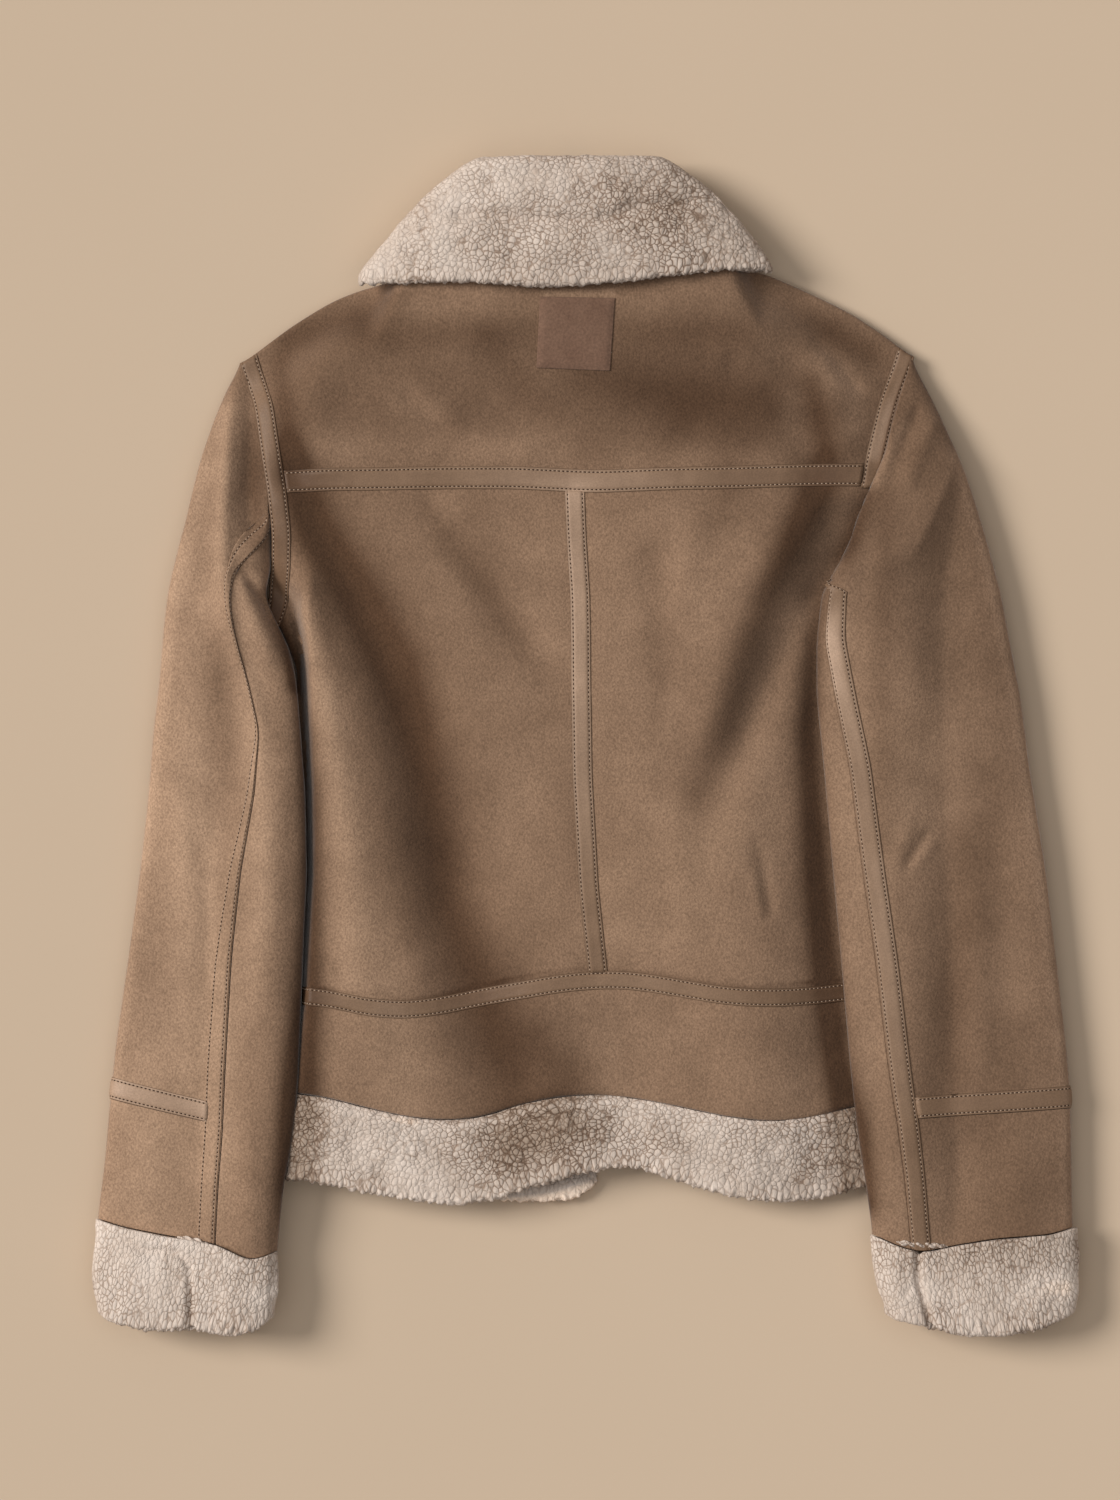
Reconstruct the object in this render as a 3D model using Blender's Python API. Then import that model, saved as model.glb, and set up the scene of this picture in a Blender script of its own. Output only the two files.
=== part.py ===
"""Faux shearling aviator jacket, laid flat on its front with its back up.

One object for each cut and sewn piece. Sizes below are in millimetres, in the
garment's own flat frame: +X to the right as it lies, +Y from hem to collar, +Z up
from the surface. Meshes are written in metres, centred on the garment's box.
"""
import math

import bpy
from mathutils import Vector

MM = 0.001

# Cloth, in millimetres
WALL = 5.0            # suede face bonded to its pile, one layer
TRIM_WALL = 5.6       # pile trims at the hem
CUFF_WALL = 8.0
COLLAR_WALL = 8.0
CUFF_BULGE = 12.0     # how much further its middle reaches than its ends
CUFF_CLEARANCE = 1.6  # along the wavy seam between sleeve and cuff
TAPE = 1.2            # smooth tape sewn over the seams
PATCH = 1.4
GAP = 0.3             # between pieces, at seams and faces
TAPE_WIDTH = 12.5
SLEEVE_SQUARE = 0.85  # a sleeve's section: 1 is an ellipse, less is squarer
COLLAR_SQUARE = (0.8, 0.55)       # the same across and up, for the collar's ring

# Heights above the surface, in millimetres
EDGE_TOP = WALL + GAP + WALL      # top of the back where it folds to the front
BODY_TOP = 32.0                   # top of the back in the middle
LEFT_RISE = 60.0                  # how far in from each edge the back reaches that height
RIGHT_RISE = 105.0
SHOULDER_RISE = 42.0
SLEEVE_DEPTH = 13.0               # half the height of a free sleeve
CUFF_DEPTH = 17.0
SLEEVE_LIFT = 1.8                 # under a sleeve, where its tapes lie on the surface

# Y of the garment's main levels
NECK_Y = 300.0
CUFF_Y = -312.0                   # where a sleeve meets its cuff, without the wave of that seam


# ---------------------------------------------------------------- tables of sizes
# Body: Y, left edge, centre line, right edge (the edges are the armhole seams above the armpits)
BODY = [
    # y,      left,   centre, right
    (-300.0, -201.0,   9.0,  191.0),
    (-225.0, -199.0,   9.0,  188.0),
    (-155.0, -196.0,   9.0,  186.0),
    (-90.0,  -193.0,   2.0,  184.5),
    (-20.0,  -189.0,  -2.0,  182.0),
    (60.0,   -184.5,  -3.0,  179.5),
    (100.0,  -197.0,  -3.5,  181.0),
    (120.0,  -199.7,  -5.0,  182.5),
    (137.0,  -199.7,  -6.0,  184.5),
    (164.0,  -202.6,  -7.0,  187.0),
    (187.0,  -206.4,  -7.0,  191.0),
    (220.0,  -211.5,  -7.0,  199.0),
    (244.0,  -220.0,  -7.0,  208.0),
    (300.0,  -236.0,  -7.0,  226.0),
]

# Where the back has its low outer edge: the body's side below the armpit, the sleeve's above it
LOW_EDGE = [
    # y,      left,   right
    (-300.0, -201.0, 191.0),
    (-155.0, -196.0, 186.0),
    (60.0,   -184.5, 179.5),
    (95.0,   -190.0, 184.0),
    (130.0,  -236.0, 226.0),
    (164.0,  -250.0, 250.0),
    (200.0,  -243.0, 238.0),
    (220.0,  -236.0, 228.0),
    (247.0,  -221.0, 206.0),
    (300.0,  -200.0, 190.0),
]

# Shoulder line and neckline, left to right
SHOULDER = [
    # x,      y
    (-222.0, 245.0),
    (-189.0, 270.0),
    (-163.0, 286.0),
    (-147.0, 292.5),
    (-128.0, 298.0),
    (-100.0, 300.0),
    (80.0,   300.0),
    (113.0,  300.0),
    (126.0,  298.5),
    (142.0,  292.5),
    (170.0,  279.0),
    (197.0,  261.0),
    (209.0,  250.0),
]

# Seams across the back, left to right
ACROSS = [
    # x,      yoke,   waist,  hem,    trim
    (-202.0, 169.0, -157.0, -219.0, -274.0),
    (-165.0, 171.0, -159.5, -223.5, -279.0),
    (-140.0, 171.0, -165.5, -230.0, -284.0),
    (-115.0, 171.5, -167.5, -236.0, -289.0),
    (-90.0,  172.0, -164.5, -238.5, -292.0),
    (-65.0,  172.0, -159.0, -236.5, -291.0),
    (-45.0,  172.0, -155.5, -229.0, -284.0),
    (-15.0,  170.5, -150.0, -222.5, -274.5),
    (10.0,   169.5, -148.0, -222.0, -269.0),
    (30.0,   170.5, -148.5, -224.0, -267.0),
    (55.0,   171.5, -152.5, -228.5, -276.0),
    (90.0,   172.0, -158.5, -236.0, -286.0),
    (120.0,  173.0, -160.0, -239.5, -291.5),
    (150.0,  174.0, -158.5, -236.5, -289.0),
    (175.0,  174.0, -155.5, -230.0, -282.0),
    (192.0,  174.0, -154.0, -226.0, -277.0),
]
TAPE_ABOVE = {"yoke": 7.5, "waist": 5.5}      # of a tape, above and below its seam
TAPE_BELOW = {"yoke": 7.0, "waist": 6.0}

# Soft ridges (+) and troughs (-) of the back: a run from one end to the other
FOLDS = [
    # x0,     y0,     x1,    y1,   width, height
    (-176.0,  150.0, -152.0,  70.0, 20.0, -6.0),
    (-150.0,   70.0, -128.0, -20.0, 22.0, -9.0),
    (-127.0,  -20.0, -116.0, -140.0, 24.0, -8.0),
    (-168.0,   40.0, -152.0, -110.0, 18.0, 6.0),
    (150.0,   160.0, 122.0,  115.0, 18.0, -6.0),
    (122.0,   115.0,  95.0,   55.0, 22.0, -8.0),
    (92.0,     50.0,  66.0,  -40.0, 26.0, -6.0),
    (-88.0,   -60.0, -88.0, -290.0, 26.0, 5.0),
    (28.0,   -120.0,  30.0, -290.0, 24.0, -6.0),
    (125.0,  -100.0, 122.0, -290.0, 26.0, 5.0),
]

# Sleeves: a flattened tube in sections across, from the shoulder to the cuff.
# outer and inner are its edges, mid the crest line, seam the back seam on its top.
SLEEVES = {
    "l": {
        "side": -1,
        "armpit": 104.0,
        "under_top": 146.0,
        "rows": [
            # y,     outer,  mid,    seam,   inner
            (241.0, -223.5, -219.5, -219.5, -219.5),
            (228.0, -231.0, -215.5, -215.5, -215.5),
            (212.0, -237.5, -210.9, -210.9, -210.9),
            (187.0, -246.0, -207.0, -207.0, -207.0),
            (164.0, -252.0, -203.5, -203.5, -203.5),
            (146.0, -256.0, -202.5, -202.8, -201.2),
            (130.0, -260.5, -212.0, -216.0, -201.2),
            (112.0, -265.0, -223.0, -228.0, -202.0),
            (97.0,  -268.0, -229.0, -229.5, -205.5),
            (80.0,  -270.0, -232.0, -227.0, -197.5),
            (62.0,  -271.5, -231.5, -221.0, -188.8),
            (43.0,  -273.0, -230.0, -215.5, -184.8),
            (10.0,  -277.0, -231.0, -208.0, -182.0),
            (-30.0, -280.0, -232.0, -211.0, -179.0),
            (-80.0, -285.5, -235.0, -220.0, -178.0),
            (-135.0, -293.0, -238.0, -226.0, -180.5),
            (-190.0, -301.0, -243.0, -230.0, -183.6),
            (-211.0, -303.0, -245.0, -231.0, -186.0),
            (-225.0, -304.5, -246.0, -231.5, -187.5),
            (-312.0, -312.5, -254.0, -236.5, -197.0),
        ],
        # cross tape: Y of its top, its seam, and its drop over the width
        "cross": (-211.0, -225.0, 25.0),
        "cuff_edge": [(-311.0, -301.0), (-300.0, -305.5), (-262.0, -312.5), (-246.0, -314.5),
                      (-232.0, -318.0), (-216.0, -327.5), (-206.0, -326.0), (-197.0, -320.0)],
        "cuff": [
            # y,      outer,  inner
            (-318.0, -314.5, -196.0),
            (-335.0, -316.8, -194.5),
            (-350.0, -316.8, -194.6),
            (-362.0, -313.0, -198.0),
        ],
    },
    "r": {
        "side": 1,
        "armpit": 150.0,
        "under_top": 150.0,
        "rows": [
            # y,     outer,  mid,    seam,   inner
            (241.0, 212.5,  208.0,  208.0,  208.0),
            (231.0, 218.5,  203.0,  203.0,  203.0),
            (213.0, 227.5,  197.8,  197.8,  197.8),
            (200.0, 233.0,  194.2,  194.2,  194.2),
            (182.0, 241.0,  190.8,  190.8,  190.8),
            (160.0, 249.0,  190.0,  187.6,  184.5),
            (130.0, 258.0,  205.0,  172.0,  168.0),
            (100.0, 266.0,  207.0,  155.5,  151.0),
            (68.0,  272.0,  208.0,  152.5,  147.5),
            (32.0,  279.0,  211.0,  159.0,  147.5),
            (-12.0, 284.5,  216.0,  168.0,  152.0),
            (-78.0, 295.0,  224.0,  176.5,  157.8),
            (-133.0, 301.5,  230.0,  184.5,  162.9),
            (-190.0, 308.0,  237.0,  192.0,  168.5),
            (-216.6, 310.4,  240.0,  196.0,  171.3),
            (-231.0, 311.0,  241.0,  198.5,  172.8),
            (-312.0, 312.3,  249.0,  208.0,  183.5),
        ],
        "cross": (-216.6, -231.0, 9.0),
        "cuff_edge": [(184.0, -310.0), (192.0, -315.0), (206.0, -320.5), (217.0, -322.0), (232.0, -318.5),
                      (262.0, -313.5), (300.0, -311.0), (313.0, -306.0)],
        "cuff": [
            # y,      outer,  inner
            (-318.0, 316.0, 181.0),
            (-335.0, 317.0, 183.0),
            (-350.0, 317.2, 186.0),
            (-362.0, 314.5, 190.5),
        ],
    },
}

# Collar, folded over at its top edge: Y, left and right ends, full height
COLLAR = [
    # y,     left,    right,  height
    (292.0, -149.0,  124.0,  44.0),
    (304.0, -147.0,  123.0,  44.0),
    (320.0, -133.0,  113.0,  44.0),
    (340.0, -116.0,   97.0,  43.5),
    (360.0,  -97.0,   78.0,  43.0),
    (377.0,  -71.0,   52.0,  42.0),
]
COLLAR_FALL_EDGE = [(-150.0, 303.0), (-128.0, 297.0), (-74.0, 296.5), (-30.0, 292.5), (15.0, 294.5),
                    (60.0, 299.5), (100.0, 301.5), (125.0, 305.0)]
COLLAR_FOLD_Y = 379.0
COLLAR_UNDER_EDGE = 314.0      # the fall's edge on the side that lies on the surface
COLLAR_SLIT = 0.6              # between the fall and the stand inside it

BACK_LEVELS = (0.14, 0.28, 0.42, 0.56, 0.67, 0.75, 0.79, 0.83, 0.91)     # rows of the back panels, as shares
YOKE_LEVELS = (0.3, 0.55, 0.8)
PATCH_CORNERS = [(-31.4, 242.2), (15.7, 240.3), (18.9, 286.7), (-29.1, 287.7)]

FRONT_TUCK = 1.2               # how far the fronts' outer edges lie inside the back's
FRONT_EDGE_X = 7.4             # where the two fronts meet, left of it the left front
FRONT_TRIM_EDGE = [(-202.0, -268.0), (-180.0, -270.0), (-130.0, -280.0), (-85.0, -287.0),
                   (-52.0, -291.5), (-25.0, -292.0), (-5.0, -290.0), (4.0, -284.5), (7.1, -276.0)]
FRONT_TRIM_TOP_Y = -226.0
RIGHT_TRIM_Y = -262.0

COLOURS = {
    # name:     (red, green, blue), roughness
    "suede":    ((0.26, 0.165, 0.105), 0.95),
    "tape":     ((0.30, 0.20, 0.135), 0.55),
    "pile":     ((0.62, 0.51, 0.42), 1.0),
    "patch":    ((0.24, 0.135, 0.09), 0.8),
}


# ---------------------------------------------------------------- small helpers
def lookup(rows, at, column=1):
    """Read a table at a place, straight between its rows and level past its ends."""
    ordered = sorted(rows)
    if at <= ordered[0][0]:
        return ordered[0][column]
    for low, high in zip(ordered, ordered[1:]):
        if at <= high[0]:
            share = (at - low[0]) / (high[0] - low[0])
            return low[column] + share * (high[column] - low[column])
    return ordered[-1][column]


def smooth_lookup(rows, at, column=1):
    """The table softened: the mean of three readings close together."""
    reach = 6.0
    return (lookup(rows, at - reach, column) + 2.0 * lookup(rows, at, column)
            + lookup(rows, at + reach, column)) / 4.0


def ease(share):
    """0 to 1 with level ends."""
    share = min(1.0, max(0.0, share))
    return share * share * (3.0 - 2.0 * share)


def mix(low, high, share):
    return low + (high - low) * share


def fold_height(x, y):
    """All ridges and troughs of the back at a place."""
    total = 0.0
    for x0, y0, x1, y1, width, height in FOLDS:
        run = Vector((x1 - x0, y1 - y0))
        along = max(0.0, min(1.0, (Vector((x - x0, y - y0)).dot(run)) / run.length_squared))
        off = math.hypot(x - x0 - along * run.x, y - y0 - along * run.y)
        total += height * math.exp(-((off / width) ** 2))
    return total


def neck_window(x):
    """1 across the neck opening, 0 at the shoulders."""
    return ease((x + 140.0) / 40.0) * ease((116.0 - x) / 40.0)


def back_top(x, y):
    """Height of the back's upper face."""
    left = smooth_lookup(LOW_EDGE, y, 1)
    right = smooth_lookup(LOW_EDGE, y, 2)
    from_side = ease((x - left) / LEFT_RISE) * ease((right - x) / RIGHT_RISE)
    from_shoulder = ease((smooth_lookup(SHOULDER, x) + 60.0 * neck_window(x) - y) / SHOULDER_RISE)
    hang = 1.0 - 0.28 * ease((-150.0 - y) / 140.0)
    swell = from_side * from_shoulder * hang
    return EDGE_TOP + swell * (BODY_TOP - EDGE_TOP + fold_height(x, y))


# ---------------------------------------------------------------- meshes
def make_object(name, verts, faces, finish):
    mesh = bpy.data.meshes.new(name)
    mesh.from_pydata([(x * MM, y * MM, z * MM) for x, y, z in verts], [], faces)
    mesh.validate()
    made = bpy.data.objects.new(name, mesh)
    bpy.context.scene.collection.objects.link(made)
    colour, roughness = COLOURS[finish]
    material = bpy.data.materials.new(name)
    material.use_nodes = True
    shader = material.node_tree.nodes["Principled BSDF"]
    shader.inputs["Base Color"].default_value = (*colour, 1.0)
    shader.inputs["Roughness"].default_value = roughness
    shader.inputs["Metallic"].default_value = 0.0
    mesh.materials.append(material)
    return made


def make_wall(name, upper, lower, finish, round_ends=False):
    """A closed wall between two grids of points with the same rows and columns.

    Seen from above the upper grid, rows run on from each other to the left of the
    columns' direction, so that its faces point out. round_ends joins the last column
    to the first one.
    """
    rows = len(upper)
    columns = len(upper[0])
    verts = [point for row in upper for point in row] + [point for row in lower for point in row]
    offset = rows * columns
    faces = []
    last = columns if round_ends else columns - 1
    for row in range(rows - 1):
        for column in range(last):
            after = (column + 1) % columns
            a = row * columns + column
            b = row * columns + after
            c = (row + 1) * columns + after
            d = (row + 1) * columns + column
            faces += [(a, b, c), (a, c, d)]
            faces += [(offset + a, offset + c, offset + b), (offset + a, offset + d, offset + c)]
    for column in range(last):
        after = (column + 1) % columns
        a, b = column, after
        faces += [(b, a, offset + a), (b, offset + a, offset + b)]
        c = (rows - 1) * columns + column
        d = (rows - 1) * columns + after
        faces += [(c, d, offset + d), (c, offset + d, offset + c)]
    if not round_ends:
        for row in range(rows - 1):
            a = row * columns
            b = (row + 1) * columns
            faces += [(a, b, offset + b), (a, offset + b, offset + a)]
            c = row * columns + columns - 1
            d = (row + 1) * columns + columns - 1
            faces += [(d, c, offset + c), (d, offset + c, offset + d)]
    return make_object(name, verts, faces, finish)


# ---------------------------------------------------------------- the back
def body_x(share, y):
    """X at a share of the width: 0 the left edge, 0.5 the centre line, 1 the right edge."""
    left = smooth_lookup(BODY, y, 1)
    centre = smooth_lookup(BODY, y, 2)
    right = smooth_lookup(BODY, y, 3)
    half = TAPE_WIDTH / 2.0
    marks = [(0.0, left), (0.08, left + TAPE_WIDTH), (0.46, centre - half), (0.5, centre),
             (0.54, centre + half), (0.92, right - TAPE_WIDTH), (1.0, right)]
    return lookup(marks, share)


LEFT_SHARES = [0.0, 0.08, 0.14, 0.21, 0.28, 0.36, 0.42, 0.46, 0.5]
RIGHT_SHARES = [1.0 - share for share in reversed(LEFT_SHARES)]
ALL_SHARES = LEFT_SHARES + RIGHT_SHARES[1:]


def seam_point(share, column, shift):
    """A point of a seam across the back, moved up or down the cloth."""
    y = 0.0
    for _ in range(6):
        y = smooth_lookup(ACROSS, body_x(share, y), column) + shift
    return body_x(share, y), y


def lay(points, lift):
    """Points of the back's upper face, moved up."""
    return [(x, y, back_top(x, y) + lift) for x, y in points]


def back_panel(name, shares, rows, finish, wall=WALL, lift=0.0, nudge=0.0):
    """A panel of the back. rows gives a function of the share for each row, low to high."""
    upper = []
    lower = []
    for row in rows:
        points = [row(share) for share in shares]
        if nudge:
            end = 0 if nudge > 0 else -1
            points[end] = (points[end][0] + nudge, points[end][1])
        upper.append(lay(points, lift))
        lower.append(lay(points, lift - wall))
    return make_wall(name, upper, lower, finish)


def between(low, high, share_up):
    """A row part of the way from one row to another."""
    def row(share):
        x0, y0 = low(share)
        x1, y1 = high(share)
        y = mix(y0, y1, share_up)
        return body_x(share, y), y
    return row


def seam_row(column, shift):
    return lambda share: seam_point(share, column, shift)


def shoulder_row(share):
    """The yoke's top edge, from armhole to armhole."""
    y = 270.0
    for _ in range(20):
        y = mix(y, smooth_lookup(SHOULDER, body_x(share, y)), 0.6)
    return body_x(share, y), y


def build_back():
    yoke_low = seam_row(1, GAP / 2.0)
    yoke_tape_top = seam_row(1, TAPE_ABOVE["yoke"])
    ups = [between(yoke_tape_top, shoulder_row, share) for share in YOKE_LEVELS]
    back_panel("back_yoke", ALL_SHARES, [yoke_low, yoke_tape_top] + ups + [shoulder_row], "suede")

    top = seam_row(1, -GAP / 2.0)
    top_tape = seam_row(1, -TAPE_BELOW["yoke"])
    low_tape = seam_row(2, TAPE_ABOVE["waist"])
    low = seam_row(2, GAP / 2.0)
    middle = [between(low_tape, top_tape, share) for share in BACK_LEVELS]
    rows = [low, low_tape] + middle + [top_tape, top]
    back_panel("back_left", LEFT_SHARES, rows, "suede", nudge=-GAP / 2.0)
    back_panel("back_right", RIGHT_SHARES, rows, "suede", nudge=GAP / 2.0)

    band_top = seam_row(2, -GAP / 2.0)
    band_tape = seam_row(2, -TAPE_BELOW["waist"])
    band_low = seam_row(3, GAP / 2.0)
    back_panel("back_hem_band", ALL_SHARES,
               [band_low, between(band_low, band_tape, 0.5), band_tape, band_top], "suede")

    trim_top = seam_row(3, -GAP / 2.0)
    trim_low = seam_row(4, 0.0)
    back_panel("back_hem_trim", ALL_SHARES,
               [trim_low, between(trim_low, trim_top, 0.5), trim_top], "pile",
               wall=TRIM_WALL, lift=TRIM_WALL - WALL + GAP)

    centre = [share for share in ALL_SHARES if 0.45 < share < 0.55]
    strap_rows = [low_tape] + middle + [top_tape]
    back_panel("centre_strap", centre, strap_rows, "tape", wall=TAPE, lift=GAP + TAPE)
    inside = [share for share in ALL_SHARES if 0.07 < share < 0.93]
    back_panel("yoke_strap", inside, [top_tape_gap, yoke_mid, yoke_tape_top], "tape",
               wall=TAPE, lift=GAP + TAPE)
    back_panel("waist_strap", ALL_SHARES, [band_tape, waist_mid, low_tape_gap], "tape",
               wall=TAPE, lift=GAP + TAPE)


def top_tape_gap(share):
    """Lower edge of the yoke strap, just clear of the centre strap's end."""
    return seam_point(share, 1, -TAPE_BELOW["yoke"] + GAP)


def yoke_mid(share):
    return seam_point(share, 1, 0.0)


def waist_mid(share):
    return seam_point(share, 2, 0.0)


def low_tape_gap(share):
    """Upper edge of the waist strap, just clear of the centre strap's end."""
    return seam_point(share, 2, TAPE_ABOVE["waist"] - GAP)


def armhole_tape(name, shares, back_levels):
    """The tape on the body's side of an armhole, from the shoulder down towards the armpit."""
    low_tape = seam_row(2, TAPE_ABOVE["waist"])
    low = seam_row(1, -TAPE_BELOW["yoke"])
    high = seam_row(1, TAPE_ABOVE["yoke"])
    rows = [between(low_tape, low, share) for share in back_levels]
    rows += [low, seam_row(1, -GAP / 2.0), seam_row(1, GAP / 2.0), high]
    rows += [between(high, shoulder_row, share) for share in YOKE_LEVELS] + [shoulder_row]
    back_panel(name, shares, rows, "tape", wall=TAPE, lift=GAP + TAPE)


def build_armhole_tapes():
    inset = 0.004
    armhole_tape("armhole_tape_l", [inset, 0.08 - inset], BACK_LEVELS[-2:])
    armhole_tape("armhole_tape_r", [0.92 + inset, 1.0 - inset], [])


def build_patch():
    """The blank patch under the collar, straight sided."""
    low_left, low_right, top_right, top_left = PATCH_CORNERS
    steps = [0.0, 0.5, 1.0]
    upper = []
    lower = []
    for up in steps:
        points = []
        for across in steps:
            x = mix(mix(low_left[0], low_right[0], across), mix(top_left[0], top_right[0], across), up)
            y = mix(mix(low_left[1], low_right[1], across), mix(top_left[1], top_right[1], across), up)
            points.append((x, y))
        upper.append(lay(points, GAP + PATCH))
        lower.append(lay(points, GAP))
    make_wall("blank_patch", upper, lower, "patch")


# ---------------------------------------------------------------- the fronts, underneath
def front_lift(x, y):
    """The fronts lie flat, and rise to the collar's stand at the neck."""
    return COLLAR_WALL * ease((y - 262.0) / 36.0) * neck_window(x)


def front_wall(name, xs, low, high, finish, wall):
    """A flat wall on the surface between two edges, each a function of x."""
    shares = [0.0, 0.35, 0.6, 0.8, 0.9, 1.0]
    upper = []
    lower = []
    for share in shares:
        points = [(x, mix(low(x), high(x), share)) for x in xs]
        upper.append([(x, y, front_lift(x, y) + wall) for x, y in points])
        lower.append([(x, y, front_lift(x, y)) for x, y in points])
    make_wall(name, upper, lower, finish)


def front_panel(name, shares, inner_x, inner_first):
    """One front: its outer edge follows the body's, its inner edge is straight."""
    levels = [FRONT_TRIM_TOP_Y + GAP, -155.0, -60.0, 40.0, 70.0, 100.0, 137.0, 187.0, 220.0, 240.0]
    upper = []
    lower = []
    outer_column = 3 if inner_first else 1
    tuck = -FRONT_TUCK if inner_first else FRONT_TUCK

    def row_points(y):
        outer = smooth_lookup(BODY, y, outer_column) + tuck
        return [(mix(outer, inner_x, share), y) for share in shares]

    for y in levels:
        points = row_points(y)
        upper.append([(x, y, WALL) for x, y in points])
        lower.append([(x, y, 0.0) for x, y in points])
    for up in (0.5, 1.0):
        points = []
        for share in shares:
            outer = smooth_lookup(BODY, 247.0, outer_column) + tuck
            x = mix(outer, inner_x, share)
            y = mix(240.0, smooth_lookup(SHOULDER, x) - GAP, up)
            points.append((x, y))
        upper.append([(x, y, front_lift(x, y) + WALL) for x, y in points])
        lower.append([(x, y, front_lift(x, y)) for x, y in points])
    if inner_first:
        upper = [list(reversed(row)) for row in upper]
        lower = [list(reversed(row)) for row in lower]
    make_wall(name, upper, lower, "suede")


def build_fronts():
    shares = [0.0, 0.12, 0.25, 0.4, 0.55, 0.7, 0.85, 1.0]
    front_panel("front_left", shares, FRONT_EDGE_X - GAP, False)
    front_panel("front_right", shares, FRONT_EDGE_X, True)
    top = FRONT_TRIM_TOP_Y
    left_xs = [row[0] for row in FRONT_TRIM_EDGE]
    front_wall("front_trim_left", left_xs, lambda x: lookup(FRONT_TRIM_EDGE, x), lambda x: top,
               "pile", TRIM_WALL)
    right_xs = [FRONT_EDGE_X, 60.0, 120.0, 178.0]
    front_wall("front_trim_right", right_xs, lambda x: RIGHT_TRIM_Y, lambda x: top, "pile", TRIM_WALL)


# ---------------------------------------------------------------- sleeves and cuffs
def sleeve_bed(arm, x, y):
    """The height that a sleeve's underside lies on: the surface, or the body's side."""
    side = arm["side"]
    edge = smooth_lookup(BODY, y, 1 if side < 0 else 3)
    inside = (x - edge) * -side
    clear = GAP + TAPE + 1.6
    if inside >= 0.0:
        rest = back_top(x, min(y, arm["armpit"] - 20.0)) + clear
    else:
        rest = (EDGE_TOP + clear) * ease(1.0 + inside / 62.0)
    free = ease((arm["armpit"] + 16.0 - y) / 38.0)
    past_hem = ease((y + 330.0) / 60.0)
    return max(SLEEVE_LIFT, rest * free * mix(0.55, 1.0, past_hem))


def sleeve_row(arm, y):
    """Edges, crest and seam of a sleeve at a level."""
    rows = [(row[0],) + row[1:] for row in arm["rows"]]
    return [smooth_lookup(rows, y, column) for column in (1, 2, 3, 4)]


def ring_point(arm, y, turn, inset):
    """A point of a sleeve's section. turn is 0 at the inner edge, 0.25 on top, 0.5 at the outer edge."""
    outer, mid, _, inner = sleeve_row(arm, y)
    angle = 2.0 * math.pi * turn
    across = math.cos(angle)
    up = math.sin(angle)
    half = abs(inner - mid) if across > 0.0 else abs(mid - outer)
    reach = max(half - inset, half * 0.5) * across
    x = mid - arm["side"] * reach
    outer_x = mid - arm["side"] * half * across
    bed = sleeve_bed(arm, outer_x, y)
    attached = ease((y - arm["armpit"]) / 24.0)
    joined = back_top(mid, y) / 2.0
    depth = mix(SLEEVE_DEPTH, joined, attached)
    shape = math.copysign(abs(up) ** SLEEVE_SQUARE, up)
    return x, y, bed + depth + max(depth - inset, 0.1) * shape


def seam_turn(arm, y):
    """The turn at which the back seam lies on the sleeve's top."""
    outer, mid, seam, inner = sleeve_row(arm, y)
    inside = (mid - seam) * arm["side"]
    half = abs(inner - mid) if inside > 0.0 else abs(mid - outer)
    if half < 3.0:
        return 0.25
    return math.acos(max(-0.96, min(0.96, inside / half))) / (2.0 * math.pi)


def tape_turn(arm, y):
    """The turn at the seam tape's outer edge."""
    outer, mid, _, inner = sleeve_row(arm, y)
    start = ring_point(arm, y, seam_turn(arm, y), 0.0)
    turn = seam_turn(arm, y)
    for _ in range(60):
        if math.dist(ring_point(arm, y, turn, 0.0), start) >= min(TAPE_WIDTH, 0.45 * abs(mid - outer)):
            break
        turn += 0.003
    return turn


def sleeve_grid(arm, levels, turns_of, inset, drop=None):
    """Rows of section points. turns_of gives the turns at a level."""
    grid = []
    for y in levels:
        row = []
        for turn in turns_of(y):
            x, _, z = ring_point(arm, y, turn, inset)
            shift = drop(x, y) if drop else 0.0
            row.append((x, y + shift, z))
        grid.append(row)
    return grid


def sleeve_wall(name, arm, levels, turns_of, finish, inset=WALL, out=0.0, drop=None):
    """A wall of a sleeve; levels run from the cuff to the shoulder."""
    upper = sleeve_grid(arm, levels, turns_of, -out, drop)
    lower = sleeve_grid(arm, levels, turns_of, inset - out, drop)
    if arm["side"] < 0:
        upper = [list(reversed(row)) for row in upper]
        lower = [list(reversed(row)) for row in lower]
    return make_wall(name, upper, lower, finish)


def outer_turns(arm):
    def turns(y):
        seam = seam_turn(arm, y) + 0.0008
        tape = tape_turn(arm, y)
        rest = [mix(tape, 0.748, share) for share in (0.12, 0.26, 0.4, 0.54, 0.66, 0.8, 1.0)]
        return [seam, tape] + rest
    return turns


def under_turns(arm):
    def turns(y):
        seam = seam_turn(arm, y) - 0.0012
        return [mix(-0.248, seam, share) for share in (0.0, 0.2, 0.36, 0.5, 0.64, 0.82, 1.0)]
    return turns


def cuff_edge(arm, x):
    """Y of the wavy seam between sleeve and cuff."""
    near = [lookup(arm["cuff_edge"], x + shift) for shift in (-12.0, -6.0, 0.0, 6.0, 12.0)]
    return sum(near) / len(near)


def cuff_drop(arm):
    """How far the sleeve's lower edge departs from a level line, faded out up the sleeve."""
    def drop(x, y):
        fade = ease((-262.0 - y) / 50.0)
        return (cuff_edge(arm, x) - CUFF_Y) * fade
    return drop


def cross_drop(arm):
    """The cross tape's slight slope over the sleeve's width."""
    top, _, slope = arm["cross"]
    edge = cuff_drop(arm)

    def drop(x, y):
        outer, _, _, inner = sleeve_row(arm, y)
        near = 1.0 - ease(abs(y - top) / 90.0)
        return edge(x, y) - slope * near * abs(x - outer) / abs(inner - outer)
    return drop


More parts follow.
